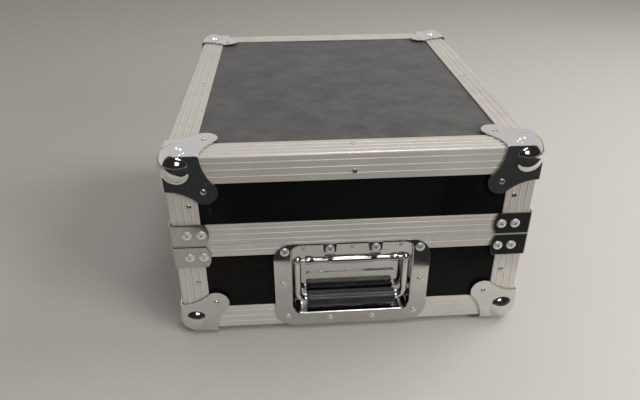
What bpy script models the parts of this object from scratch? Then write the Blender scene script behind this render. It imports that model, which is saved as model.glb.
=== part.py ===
# Mixer flight case: laminated plywood panels in double-angle aluminium extrusions, a lift-off
# lid on tongue-and-groove lip frames, eight ball corners, eight corner braces, a recessed
# drop handle on the front and a recessed butterfly catch on each side.
# Metres, +Z up. The origin is on the ground under the middle of the case, the front faces -Y.

import math
from itertools import product

import bmesh
import bpy
from mathutils import Matrix, Vector

mm = 0.001

# Driving dimensions of the case body, over the flat faces of its extrusions
case_width = 372 * mm
case_depth = 438 * mm
case_height = 214 * mm
seam_height = 112.5 * mm
clearance = 0.3 * mm

# Plywood panels
panel_thickness = 7 * mm

# Double-angle edge extrusion
edge_width = 30 * mm
edge_wall = 1.5 * mm
edge_inner_leg = 20 * mm
edge_corner_radius = 2.5 * mm
edge_lip_chamfer = 0.7 * mm
rib_height = 0.35 * mm
rib_width = 1.6 * mm
rib_offsets = (8 * mm, 15.5 * mm, 23 * mm)

# Lip frames: the base carries the tongue, the lid the groove
base_lip_height = 15 * mm
base_lip_inner = 14 * mm
base_lip_web = 2 * mm
lid_lip_height = 23.9 * mm
lid_lip_inner = 22 * mm
lid_lip_web = 8.5 * mm
lip_chamfer = 0.6 * mm
seam_gap = 0.4 * mm
tongue_depth = 4.2 * mm
tongue_base_width = 1.9 * mm
tongue_tip_width = 1.1 * mm
tongue_height = 5 * mm
tongue_play = 0.6 * mm
base_lip_rib = 7.5 * mm
lid_lip_ribs = (4.5 * mm, 11.5 * mm, 18 * mm)

# Ball corners
ball_radius = 19 * mm
ball_stand = 7.3 * mm
ball_wall = 2 * mm
fitting_wall = 1.5 * mm
flange_edge_reach = 36.3 * mm
flange_waist = (41.5 * mm, 20 * mm)
flange_lobe_centre = 38.5 * mm
flange_lobe_radius = 13.2 * mm
flange_edge_chamfer = 2 * mm
ball_rivet_radius = 3 * mm
ball_rivet_height = 1.4 * mm

# Corner braces beside the seam
brace_height = 25 * mm
brace_reach = 37.8 * mm
brace_end_bulge = 3.8 * mm
brace_gap = 2.4 * mm
brace_edge_radius = 3 * mm
brace_rivet_reach = (15.5 * mm, 30 * mm)
large_rivet_radius = 5 * mm
large_rivet_height = 2 * mm

# Foam liners
foam_thickness = 12 * mm
foam_parting = 2 * mm

# Recessed handle on the front: its plate reaches from just above the underside of the body to
# just below the seam. Levels marked below are measured down from the top edge of the plate
plate_sheet = 1.2 * mm
plate_half_width = 84 * mm
plate_bottom = 0.5 * mm
plate_seam_gap = 2 * mm
plate_corner_radius = 21 * mm
pocket_half_width = 64.6 * mm
pocket_bottom = 17.5 * mm
pocket_below = 18 * mm
ramp_below = 3.5 * mm
ramp_depth = 6 * mm
pocket_depth = 16.5 * mm
pocket_draft = 2 * mm
pocket_corner_radius = 10 * mm
pocket_rim_radius = 1.5 * mm
ledge_half_length = 46 * mm
ledge_below = 50.5 * mm
ledge_width = 6 * mm
ledge_rise = 2.4 * mm
handle_pivot_below = 26 * mm
handle_pivot_depth = 5 * mm
bail_rod_radius = 3.9 * mm
bail_half_span = 58.8 * mm
bail_bend_radius = 9 * mm
bail_knuckle_radius = 4.8 * mm
bail_pin_radius = 2.4 * mm
bail_pin_length = 11 * mm
grip_height = 32 * mm
grip_half_length = 49 * mm
grip_radius = 9 * mm
grip_flute = 0.5 * mm
barrel_half_length = 50.5 * mm
barrel_end_radius = 4.7 * mm
barrel_waist_radius = 3.5 * mm
barrel_middle_radius = 4.6 * mm
barrel_waist = (27 * mm, 40 * mm)
strap_tab_reach = 24.3 * mm
strap_tab_top_width = 17 * mm
strap_tab_low_width = 12 * mm
strap_bend_below = 13.5 * mm
strap_rivet_below = 6.3 * mm
plate_rivet_high = (72 * mm, 9.5 * mm)
plate_rivet_side = (75 * mm, 52.5 * mm)
plate_rivet_low = (71 * mm, 14 * mm)
plate_rivet_bottom = (23.7 * mm, 9.5 * mm)

# Recessed butterfly catches, one on each side: across, height beside the seam, and depth
catch_half_width = 56 * mm
catch_flange = 9 * mm
catch_below = 60 * mm
catch_above = 30 * mm
catch_sheet = 1 * mm
catch_corner_radius = 8 * mm
catch_pocket_radius = 5 * mm
boss_below_seam = 28.5 * mm
cam_radius = 12.5 * mm
cam_throw = 3 * mm
cam_play = 0.8 * mm
boss_face_stand = 0.7 * mm
boss_stub_radius = 4 * mm
hook_sheet = 1.5 * mm
hook_rail = 4 * mm
hook_out = 3.5 * mm
hook_neck_half_width = 15 * mm
claw_thickness = 2 * mm
keeper_half_width = 13 * mm
keeper_height = 8.7 * mm
keeper_thickness = 2.7 * mm
keeper_stand = 3 * mm
wing_half_width = 17 * mm
wing_length = 16 * mm
wing_thickness = 1.8 * mm
wing_pin_stand = 1.9 * mm
wing_knuckle_half = 8 * mm
wing_pin_radius = 1 * mm
ear_thickness = 2 * mm
ear_half_height = 2.2 * mm
ear_crown = 2 * mm

# Sizes that follow from the ones above
half_width = case_width / 2
half_depth = case_depth / 2
ground = ball_stand
panel_slot = panel_thickness + 2 * clearance
panel_outer = edge_wall + clearance
panel_inner = panel_outer + panel_thickness
web_depth = edge_wall + panel_slot
extrusion_depth = web_depth + edge_wall
panel_margin = extrusion_depth + clearance
edge_margin = edge_width + clearance
seat = rib_height + clearance
foam_outer = extrusion_depth + clearance
foam_inner = foam_outer + foam_thickness
lip_bottom = seam_height - base_lip_height
lip_top = seam_height + seam_gap + lid_lip_height
lid_base = seam_height + seam_gap
plate_top = seam_height - plate_seam_gap
pocket_top = plate_top - pocket_below
ramp_top = plate_top - ramp_below
ledge_height = plate_top - ledge_below
handle_pivot_height = plate_top - handle_pivot_below
bail_length = handle_pivot_height - grip_height
strap_tab_bend = plate_top - strap_bend_below
strap_rivet_height = plate_top - strap_rivet_below

finishes = {
    "laminate": ((0.011, 0.011, 0.012), 0.32, 0.0),
    "aluminium": ((0.52, 0.50, 0.46), 0.42, 0.9),
    "chrome": ((0.72, 0.71, 0.69), 0.12, 1.0),
    "rubber": ((0.012, 0.012, 0.013), 0.5, 0.0),
    "foam": ((0.018, 0.018, 0.020), 0.95, 0.0),
    "zinc": ((0.60, 0.60, 0.58), 0.25, 1.0),
}


# Scene helpers

def clear_scene():
    for item in list(bpy.data.objects):
        bpy.data.objects.remove(item)


def make_collection(name):
    group = bpy.data.collections.new(name)
    bpy.context.scene.collection.children.link(group)
    return group


def make_material(name, finish):
    colour, roughness, metallic = finishes[finish]
    material = bpy.data.materials.new(name)
    material.use_nodes = True
    shader = material.node_tree.nodes["Principled BSDF"]
    shader.inputs["Base Color"].default_value = (*colour, 1)
    shader.inputs["Roughness"].default_value = roughness
    shader.inputs["Metallic"].default_value = metallic
    material.diffuse_color = (*colour, 1)
    return material


def scratch_object(name, mesh):
    item = bpy.data.objects.new(name, mesh)
    bpy.context.scene.collection.objects.link(item)
    return item


def evaluated_mesh(item):
    graph = bpy.context.evaluated_depsgraph_get()
    graph.update()
    return bpy.data.meshes.new_from_object(item.evaluated_get(graph))


def freeze(item):
    item.data = evaluated_mesh(item)
    item.modifiers.clear()


def combine(body, tools, operation):
    for tool in tools:
        modifier = body.modifiers.new(operation.lower(), "BOOLEAN")
        modifier.operation = operation
        modifier.solver = "EXACT"
        modifier.object = tool
        freeze(body)
        merge_flat_faces(body.data)
        bpy.data.objects.remove(tool)
    return body


def merge_flat_faces(mesh):
    shape = bmesh.new()
    shape.from_mesh(mesh)
    bmesh.ops.remove_doubles(shape, verts=shape.verts, dist=0.002 * mm)
    bmesh.ops.dissolve_limit(shape, angle_limit=math.radians(0.05), verts=shape.verts,
                             edges=shape.edges)
    shape.to_mesh(mesh)
    shape.free()


def take_mesh(item):
    mesh = item.data
    bpy.data.objects.remove(item)
    return mesh


def place(name, mesh, finish, matrix=None, parent=None):
    item = bpy.data.objects.new(name, mesh.copy())
    parts.objects.link(item)
    item.data.name = name
    item.data.materials.clear()
    item.data.materials.append(make_material(name, finish))
    if finish in ("chrome", "zinc", "rubber"):
        item.data.shade_smooth()
        item.data.set_sharp_from_angle(angle=math.radians(35))
    item.matrix_world = matrix or Matrix.Identity(4)
    if parent:
        item.parent = parent
        item.matrix_parent_inverse = parent.matrix_world.inverted()
    return item


def cut_with(item, cutter):
    modifier = item.modifiers.new(cutter.name, "BOOLEAN")
    modifier.operation = "DIFFERENCE"
    modifier.solver = "EXACT"
    modifier.object = cutter
    return item


def place_cutter(name, mesh, matrix=None):
    item = bpy.data.objects.new(name, mesh)
    cutters.objects.link(item)
    item.hide_render = True
    item.display_type = "WIRE"
    item.matrix_world = matrix or Matrix.Identity(4)
    return item


# Shape helpers: each gives a mesh about its own origin

def block(low, high):
    shape = bmesh.new()
    size = Vector(high) - Vector(low)
    middle = (Vector(high) + Vector(low)) / 2
    bmesh.ops.create_cube(shape, size=1, matrix=Matrix.LocRotScale(middle, None, size))
    return mesh_from(shape, "block")


def mesh_from(shape, name):
    bmesh.ops.recalc_face_normals(shape, faces=shape.faces)
    mesh = bpy.data.meshes.new(name)
    shape.to_mesh(mesh)
    shape.free()
    return mesh


def flat_outline(loops, low, high):
    # Closed 2D outlines in the local XY plane, filled and extruded from low to high along Z
    curve = bpy.data.curves.new("outline", "CURVE")
    curve.dimensions = "2D"
    curve.fill_mode = "BOTH"
    curve.extrude = (high - low) / 2
    for loop in loops:
        spline = curve.splines.new("POLY")
        spline.points.add(len(loop) - 1)
        for point, (across, up) in zip(spline.points, loop):
            point.co = (across, up, 0, 1)
        spline.use_cyclic_u = True
    source = scratch_object("outline", curve)
    shape = bmesh.new()
    shape.from_mesh(evaluated_mesh(source))
    bpy.data.objects.remove(source)
    bmesh.ops.remove_doubles(shape, verts=shape.verts, dist=0.001 * mm)
    bmesh.ops.translate(shape, verts=shape.verts, vec=(0, 0, (low + high) / 2))
    return mesh_from(shape, "outline")


def cylinder(radius, low, high, sides, axis="Z"):
    shape = bmesh.new()
    bmesh.ops.create_cone(shape, cap_ends=True, segments=sides, radius1=radius, radius2=radius,
                          depth=high - low, matrix=Matrix.Translation((0, 0, (low + high) / 2)))
    if axis == "X":
        bmesh.ops.rotate(shape, verts=shape.verts, matrix=Matrix.Rotation(math.pi / 2, 3, "Y"))
    if axis == "Y":
        bmesh.ops.rotate(shape, verts=shape.verts, matrix=Matrix.Rotation(-math.pi / 2, 3, "X"))
    return mesh_from(shape, "cylinder")


def ball(radius, centre, segments, rings):
    shape = bmesh.new()
    bmesh.ops.create_uvsphere(shape, u_segments=segments, v_segments=rings, radius=radius,
                              matrix=Matrix.Translation(centre))
    return mesh_from(shape, "ball")


def turned(profile, sides, axis="Z"):
    # Profile of (radius, height) pairs from top to bottom, turned once about Z
    shape = bmesh.new()
    points = [shape.verts.new((radius, 0, height)) for radius, height in profile]
    for start, end in zip(points, points[1:]):
        shape.edges.new((start, end))
    mesh = bpy.data.meshes.new("turned")
    shape.to_mesh(mesh)
    shape.free()
    item = scratch_object("turned", mesh)
    screw = item.modifiers.new("turn", "SCREW")
    screw.steps = sides
    screw.render_steps = sides
    screw.use_merge_vertices = True
    screw.merge_threshold = 0.0001 * mm
    freeze(item)
    shape = bmesh.new()
    shape.from_mesh(take_mesh(item))
    bmesh.ops.remove_doubles(shape, verts=shape.verts, dist=0.001 * mm)
    if axis == "X":
        bmesh.ops.rotate(shape, verts=shape.verts, matrix=Matrix.Rotation(math.pi / 2, 3, "Y"))
    return mesh_from(shape, "turned")


def rivet(radius, height, sides, sink):
    # Domed head on the plane z = 0, whose flank runs on a little way into the sheet under it
    shoulder = (radius * 0.65, height * 0.75)
    foot = radius + (radius - shoulder[0]) * sink / shoulder[1]
    return turned([(0, height), shoulder, (foot, -sink), (0, -sink)], sides)


def moved(mesh, matrix):
    mesh.transform(matrix)
    return mesh


def at(across, up, out=0.0):
    return Matrix.Translation((across, up, out))


def arc(centre, radius, start, end, steps):
    # Points on an arc, angles in degrees
    for step in range(steps + 1):
        angle = math.radians(start + (end - start) * step / steps)
        yield (centre[0] + radius * math.cos(angle), centre[1] + radius * math.sin(angle))


def rounded_rectangle(left, right, bottom, top, radius, steps=4):
    points = []
    points += arc((right - radius, top - radius), radius, 0, 90, steps)
    points += arc((left + radius, top - radius), radius, 90, 180, steps)
    points += arc((left + radius, bottom + radius), radius, 180, 270, steps)
    points += arc((right - radius, bottom + radius), radius, 270, 360, steps)
    return points


def arc_through(start, middle, end, steps):
    # The arc through three points, without its first point
    (ax, ay), (bx, by), (cx, cy) = start, middle, end
    scale = 2 * (ax * (by - cy) + bx * (cy - ay) + cx * (ay - by))
    squares = [ax * ax + ay * ay, bx * bx + by * by, cx * cx + cy * cy]
    ux = (squares[0] * (by - cy) + squares[1] * (cy - ay) + squares[2] * (ay - by)) / scale
    uy = (squares[0] * (cx - bx) + squares[1] * (ax - cx) + squares[2] * (bx - ax)) / scale
    first = math.atan2(ay - uy, ax - ux)
    turn = math.remainder(math.atan2(cy - uy, cx - ux) - first, math.tau)
    radius = math.hypot(ax - ux, ay - uy)
    angles = [first + turn * (step + 1) / steps for step in range(steps)]
    return [(ux + radius * math.cos(angle), uy + radius * math.sin(angle)) for angle in angles]


def loft(loops):
    # Skin over closed loops of equal length, open at both ends
    shape = bmesh.new()
    rings = [[shape.verts.new(point) for point in loop] for loop in loops]
    edges = []
    for ring in rings:
        edges.append([shape.edges.new(pair) for pair in zip(ring, ring[1:] + ring[:1])])
    for lower, upper in zip(edges, edges[1:]):
        bmesh.ops.bridge_loops(shape, edges=lower + upper)
    return shape, rings


# Frames: right, up and outward directions of each face, with up measured from the underside

def face_frame(side):
    directions = {
        "front": ((1, 0, 0), (0, 0, 1), (0, -half_depth, ground)),
        "rear": ((-1, 0, 0), (0, 0, 1), (0, half_depth, ground)),
        "right": ((0, 1, 0), (0, 0, 1), (half_width, 0, ground)),
        "left": ((0, -1, 0), (0, 0, 1), (-half_width, 0, ground)),
        "top": ((1, 0, 0), (0, 1, 0), (0, 0, ground + case_height)),
        "bottom": ((1, 0, 0), (0, -1, 0), (0, 0, ground)),
    }
    right, up, origin = (Vector(entry) for entry in directions[side])
    return axes_frame(origin, right, up, right.cross(up))


def axes_frame(origin, first, second, third):
    turn = Matrix((first, second, third)).transposed().to_4x4()
    return Matrix.Translation(origin) @ turn


def edge_frame(origin, first, second):
    # Local X and Y are the outward normals of the two faces that meet at the edge
    first = Vector(first)
    second = Vector(second)
    return axes_frame(origin, first, second, first.cross(second))


def corner_frame(side, back, level):
    origin = (side * half_width, back * half_depth, ground + (case_height if level > 0 else 0))
    normals = [Vector((side, 0, 0)), Vector((0, back, 0)), Vector((0, 0, level))]
    if side * back * level < 0:
        normals[0], normals[1] = normals[1], normals[0]
    return axes_frame(origin, *normals)


# Edge extrusions

def ribbed_line(start, offsets, direction, outward):
    # Points of the small ribs that run along a flat face, offsets measured from start
    points = []
    for offset in offsets:
        for shift, rise in ((-rib_width / 2, 0), (0, rib_height), (rib_width / 2, 0)):
            run = offset + shift
            points.append((start[0] + direction[0] * run + outward[0] * rise,
                           start[1] + direction[1] * run + outward[1] * rise))
    return points


def double_angle_section():
    # Section behind two faces at x = 0 and y = 0; the slots for the panels lie inside
    radius = edge_corner_radius
    half = list(arc((-radius, -radius), radius, 45, 90, 2))
    half += ribbed_line((0, 0), rib_offsets, (-1, 0), (0, 1))
    half += [
        (-edge_width + edge_lip_chamfer, 0),
        (-edge_width, -edge_lip_chamfer),
        (-edge_width, -edge_wall),
        (-extrusion_depth, -edge_wall),
        (-extrusion_depth, -web_depth),
        (-edge_inner_leg, -web_depth),
        (-edge_inner_leg, -extrusion_depth),
    ]
    other = [(y, x) for x, y in reversed(half[1:])]
    inner = (-extrusion_depth, -extrusion_depth)
    hollow = [(-edge_wall, -edge_wall), (-edge_wall, -web_depth),
              (-web_depth, -web_depth), (-web_depth, -edge_wall)]
    return [half + [inner] + other, hollow]


def edge_extrusion(length):
    return flat_outline(double_angle_section(), -length / 2, length / 2)


def add_edges():
    made = {}
    across = edge_extrusion(case_width - 2 * edge_margin)
    along = edge_extrusion(case_depth - 2 * edge_margin)
    for level, height, upward in (("bottom", ground, -1), ("top", ground + case_height, 1)):
        for side, back in (("front", -1), ("rear", 1)):
            frame = edge_frame((0, back * half_depth, height), (0, back, 0), (0, 0, upward))
            name = f"{level}_{side}_edge"
            made[name] = place(name, across, "aluminium", frame)
        for side, sign in (("left", -1), ("right", 1)):
            frame = edge_frame((sign * half_width, 0, height), (sign, 0, 0), (0, 0, upward))
            name = f"{level}_{side}_edge"
            made[name] = place(name, along, "aluminium", frame)
    return made


def add_posts():
    low = (edge_margin, lip_bottom - clearance)
    high = (lip_top + clearance, case_height - edge_margin)
    for shell, (bottom, top) in (("base", low), ("lid", high)):
        mesh = edge_extrusion(top - bottom)
        for (front, back), (side, sign) in product((("front", -1), ("rear", 1)),
                                                   (("left", -1), ("right", 1))):
            origin = (sign * half_width, back * half_depth, ground + (bottom + top) / 2)
            frame = edge_frame(origin, (sign, 0, 0), (0, back, 0))
            place(f"{shell}_post_{front}_{side}", mesh, "aluminium", frame)


# Lip frames, each a mitred ring

def ring_of(section):
    # Section of (depth, height) pairs carried round the four corners of the body
    loops = []
    for side, back in ((1, 1), (-1, 1), (-1, -1), (1, -1)):
        loops.append([(side * (half_width - depth), back * (half_depth - depth), ground + height)
                      for depth, height in section])
    shape, rings = loft(loops)
    shape.edges.ensure_lookup_table()
    ends = []
    for ring in (rings[-1], rings[0]):
        ends += [shape.edges.get(pair) for pair in zip(ring, ring[1:] + ring[:1])]
    bmesh.ops.bridge_loops(shape, edges=ends)
    return mesh_from(shape, "ring")


def rib_on_lip(height, upward):
    rows = [(0, -rib_width / 2), (-rib_height, 0), (0, rib_width / 2)]
    return [(depth, height + upward * row) for depth, row in rows]


def base_lip_section():
    top = seam_height
    tongue_slope = (tongue_base_width - tongue_tip_width) / 2
    section = [(0, top - lip_chamfer), (lip_chamfer, top)]
    section += [(tongue_depth, top), (tongue_depth + tongue_slope, top + tongue_height)]
    section += [(tongue_depth + tongue_slope + tongue_tip_width, top + tongue_height)]
    section += [(tongue_depth + tongue_base_width, top)]
    section += [(extrusion_depth, top), (extrusion_depth, top - base_lip_inner)]
    section += [(web_depth, top - base_lip_inner), (web_depth, top - base_lip_web)]
    section += [(edge_wall, top - base_lip_web), (edge_wall, lip_bottom)]
    section += [(lip_chamfer, lip_bottom), (0, lip_bottom + lip_chamfer)]
    section += rib_on_lip(top - base_lip_rib, 1)
    return section


def lid_lip_section():
    bottom = lid_base
    groove = (tongue_depth - tongue_play, tongue_depth + tongue_base_width + tongue_play)
    groove_top = bottom + tongue_height + tongue_play
    section = [(0, bottom + lip_chamfer), (lip_chamfer, bottom), (groove[0], bottom)]
    section += [(groove[0], groove_top), (groove[1], groove_top), (groove[1], bottom)]
    section += [(extrusion_depth, bottom), (extrusion_depth, bottom + lid_lip_inner)]
    section += [(web_depth, bottom + lid_lip_inner), (web_depth, bottom + lid_lip_web)]
    section += [(edge_wall, bottom + lid_lip_web), (edge_wall, lip_top)]
    section += [(lip_chamfer, lip_top), (0, lip_top - lip_chamfer)]
    for height in reversed(lid_lip_ribs):
        section += rib_on_lip(bottom + height, -1)
    return section


def add_lips():
    base = place("base_lip_frame", ring_of(base_lip_section()), "aluminium")
    lid = place("lid_lip_frame", ring_of(lid_lip_section()), "aluminium")
    for frame in (base, lid):
        for cutter in catch_cutters:
            cut_with(frame, cutter)
    cut_with(base, ramp_cutter)


# Plywood panels

def panel(name, side, across, up):
    mesh = block((across[0], up[0], -panel_inner), (across[1], up[1], -panel_outer))
    return place(name, mesh, "laminate", face_frame(side))


def add_panels():
    wide = half_width - panel_margin
    deep = half_depth - panel_margin
    panel("base_floor_panel", "bottom", (-wide, wide), (-deep, deep))
    panel("lid_top_panel", "top", (-wide, wide), (-deep, deep))
    base_span = (panel_margin, seam_height - base_lip_web - clearance)
    lid_span = (lid_base + lid_lip_web + clearance, case_height - panel_margin)
    for shell, span in (("base", base_span), ("lid", lid_span)):
        for side, reach in (("front", wide), ("rear", wide), ("left", deep), ("right", deep)):
            item = panel(f"{shell}_{side}_panel", side, (-reach, reach), span)
            if side in ("left", "right"):
                cut_with(item, catch_pocket_cutters[side])
            if shell == "base" and side == "front":
                cut_with(item, handle_cutter)


# Ball corners and braces

def flange_outline():
    # Lobed outline on one face; coordinates run inward from the corner along both edges
    outer = seat + fitting_wall
    tip = Vector((math.cos(math.radians(-20)), math.sin(math.radians(-20)))) * flange_lobe_radius
    tip += Vector((flange_lobe_centre, flange_lobe_centre))
    half = [(-outer, -outer), (flange_edge_reach, -outer), (flange_edge_reach, 0)]
    half += arc_through((flange_edge_reach, 0), flange_waist, tuple(tip), 3)
    centre = (flange_lobe_centre, flange_lobe_centre)
    half += list(arc(centre, flange_lobe_radius, -20, 45, 4))[1:]
    other = [(y, x) for x, y in reversed(half[1:-1])]
    return [(-x, -y) for x, y in half + other]


def ball_corner_mesh():
    # Built at the corner of a box that fills the negative octant
    outer = seat + fitting_wall
    ball_depth = ball_radius - ball_stand
    centre = Vector((-1, -1, -1)) * ball_depth
    reach = 2 * flange_lobe_centre
    sheet = flat_outline([flange_outline()], seat, outer)
    third = Matrix.Rotation(math.tau / 3, 4, Vector((1, 1, 1)))
    body = scratch_object("flange", sheet)
    others = [scratch_object("flange", moved(sheet.copy(), turn)) for turn in (third, third @ third)]
    combine(body, others, "UNION")
    hull = scratch_object("hull", block((-reach,) * 3, (outer,) * 3))
    bevel = hull.modifiers.new("round", "BEVEL")
    bevel.width = flange_edge_chamfer
    freeze(hull)
    combine(body, [hull], "INTERSECT")
    trim_plane = (2 * outer - ball_depth) / math.sqrt(3)
    diagonal = Vector((0, 0, 1)).rotation_difference(Vector((1, 1, 1))).to_matrix().to_4x4()
    trim = moved(block((-reach, -reach, trim_plane), (reach, reach, trim_plane + reach)), diagonal)
    combine(body, [scratch_object("trim", trim.copy())], "DIFFERENCE")
    about = Matrix.Translation(centre) @ diagonal
    solid = moved(ball(ball_radius, (0, 0, 0), 18, 10), about)
    combine(body, [scratch_object("ball", solid)], "UNION")
    hollow = moved(ball(ball_radius - ball_wall, (0, 0, 0), 12, 6), about)
    combine(body, [scratch_object("hollow", hollow)], "DIFFERENCE")
    # The space for the body of the case stops short of the wall of the ball
    inside = scratch_object("inside", block((-reach,) * 3, (seat,) * 3))
    combine(inside, [scratch_object("trim", trim)], "DIFFERENCE")
    combine(body, [inside], "DIFFERENCE")
    place_at = at(-flange_lobe_centre, -flange_lobe_centre, outer)
    sink = fitting_wall / 2
    head = moved(rivet(ball_rivet_radius, ball_rivet_height, 6, sink), place_at)
    turns = (Matrix.Identity(4), third, third @ third)
    heads = [scratch_object("rivet", moved(head.copy(), turn)) for turn in turns]
    combine(body, heads, "UNION")
    return take_mesh(body)


def add_ball_corners():
    mesh = ball_corner_mesh()
    for (level, up), (front, back), (side, sign) in product(
            (("bottom", -1), ("top", 1)), (("front", -1), ("rear", 1)),
            (("left", -1), ("right", 1))):
        name = f"ball_corner_{level}_{front}_{side}"
        place(name, mesh, "chrome", corner_frame(sign, back, up))


def brace_mesh():
    # Angle round a vertical edge at x = y = 0, its height centred on z = 0
    outer = seat + fitting_wall
    half = brace_height / 2
    end = brace_reach - brace_end_bulge
    tip = arc_through((-end, half), (-brace_reach, 0), (-end, -half), 4)
    outline = [(outer, half), (-end, half)] + tip + [(outer, -half)]
    sheet = flat_outline([outline], seat, outer)
    on_back = Matrix(((1, 0, 0, 0), (0, 0, 1, 0), (0, -1, 0, 0), (0, 0, 0, 1)))
    on_side = Matrix(((0, 0, 1, 0), (1, 0, 0, 0), (0, 1, 0, 0), (0, 0, 0, 1)))
    body = scratch_object("leg", moved(sheet.copy(), on_back))
    combine(body, [scratch_object("leg", moved(sheet, on_side))], "UNION")
    hull = scratch_object("hull", block((-brace_reach * 2, -brace_reach * 2, -brace_height),
                                        (outer, outer, brace_height)))
    bevel = hull.modifiers.new("round", "BEVEL")
    bevel.width = brace_edge_radius
    bevel.segments = 2
    freeze(hull)
    combine(body, [hull], "INTERSECT")
    heads = []
    for reach, turn in product(brace_rivet_reach, (on_back, on_side)):
        head = rivet(large_rivet_radius, large_rivet_height, 8, fitting_wall / 2)
        heads.append(scratch_object("rivet", moved(head, turn @ at(-reach, 0, outer))))
    combine(body, heads, "UNION")
    return take_mesh(body)


def add_braces():
    mesh = brace_mesh()
    shift = (brace_gap + brace_height) / 2
    for (shell, up), (front, back), (side, sign) in product(
            (("base", -1), ("lid", 1)), (("front", -1), ("rear", 1)),
            (("left", -1), ("right", 1))):
        origin = (sign * half_width, back * half_depth, ground + seam_height + seam_gap / 2 + up * shift)
        frame = edge_frame(origin, (sign, 0, 0), (0, back, 0))
        place(f"{shell}_brace_{front}_{side}", mesh, "chrome", frame)


# Foam liners

def foam_liner(name, closed_end, open_end):
    # A tray: a pad at the closed end and four walls that run to the open end
    wide = half_width - foam_outer
    deep = half_depth - foam_outer
    low, high = sorted((closed_end, open_end))
    body = scratch_object(name, block((-wide, -deep, ground + low), (wide, deep, ground + high)))
    wide = half_width - foam_inner
    deep = half_depth - foam_inner
    inward = math.copysign(foam_thickness, open_end - closed_end)
    past = math.copysign(foam_thickness, open_end - closed_end)
    low, high = sorted((closed_end + inward, open_end + past))
    bay = scratch_object("bay", block((-wide, -deep, ground + low), (wide, deep, ground + high)))
    combine(body, [bay], "DIFFERENCE")
    return place(name, take_mesh(body), "foam")


def add_foam():
    base = foam_liner("base_foam_liner", foam_outer, seam_height - foam_parting / 2)
    cut_with(base, dish_relief_cutter)
    foam_liner("lid_foam_liner", case_height - foam_outer, seam_height + foam_parting / 2)


# Handle on the front face: local X across, Y up, Z outward

def pocket_loop(inset, bottom, top, out):
    radius = pocket_corner_radius - inset / 2
    width = pocket_half_width - inset
    outline = rounded_rectangle(-width, width, bottom, top, radius, 5)
    return [(x, y, out) for x, y in outline]


def dish_plate_mesh():
    # Open skin through the outer face of the sheet, thickened inward
    face = seat + plate_sheet
    rim = pocket_rim_radius
    outline = rounded_rectangle(-plate_half_width, plate_half_width, plate_bottom, plate_top,
                                plate_corner_radius, 5)
    loops = [
        [(x, y, face) for x, y in outline],
        pocket_loop(-rim, pocket_bottom - rim, ramp_top + rim, face),
        pocket_loop(-rim * 0.3, pocket_bottom - rim * 0.3, ramp_top - rim * 0.2, face - rim * 0.3),
        pocket_loop(0, pocket_bottom, ramp_top - 2 * rim, face - rim * 1.2),
        pocket_loop(pocket_draft * 0.3, pocket_bottom + pocket_draft * 0.3, pocket_top, -ramp_depth),
        pocket_loop(pocket_draft * 0.7, pocket_bottom + pocket_draft * 0.7,
                    pocket_top - pocket_draft * 0.2, -pocket_depth + rim),
        pocket_loop(pocket_draft + rim, pocket_bottom + pocket_draft + rim,
                    pocket_top - pocket_draft * 0.3 - rim, -pocket_depth),
    ]
    shape, rings = loft(loops)
    shape.faces.new(rings[-1])
    item = scratch_object("plate", mesh_from(shape, "plate"))
    if item.data.polygons[-1].normal.z < 0:
        item.data.flip_normals()
    solidify = item.modifiers.new("sheet", "SOLIDIFY")
    solidify.thickness = plate_sheet
    solidify.offset = -1
    freeze(item)
    radius = ledge_width / 2
    ledge_line = rounded_rectangle(-ledge_half_length, ledge_half_length, ledge_height - radius,
                                   ledge_height + radius, radius * 0.98, 2)
    bottom = -pocket_depth - plate_sheet / 2
    ledge = scratch_object("ledge", flat_outline([ledge_line], bottom, ledge_rise - pocket_depth))
    heads = [ledge]
    large = (large_rivet_radius, large_rivet_height, 10)
    small = (ball_rivet_radius, ball_rivet_height, 6)
    spots = [
        (plate_rivet_high[0], plate_top - plate_rivet_high[1], large),
        (plate_rivet_side[0], plate_top - plate_rivet_side[1], small),
        (*plate_rivet_low, small),
        (*plate_rivet_bottom, small),
    ]
    for (across, up, size), sign in product(spots, (-1, 1)):
        head = moved(rivet(*size, plate_sheet / 2), at(sign * across, up, face))
        heads.append(scratch_object("rivet", head))
    combine(item, heads, "UNION")
    return take_mesh(item)


def barrel_mesh():
    ends, waist, middle = barrel_end_radius, barrel_waist_radius, barrel_middle_radius
    half = barrel_half_length
    near, far = barrel_waist
    side = [(ends * 0.8, half), (ends, half - 2 * mm), (ends * 0.95, half - 5 * mm),
            (waist, far), (waist, near), (middle, near - 7 * mm)]
    profile = [(0, half)] + side + [(radius, -run) for radius, run in reversed(side)]
    return turned(profile + [(0, -half)], 12, "X")


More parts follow.
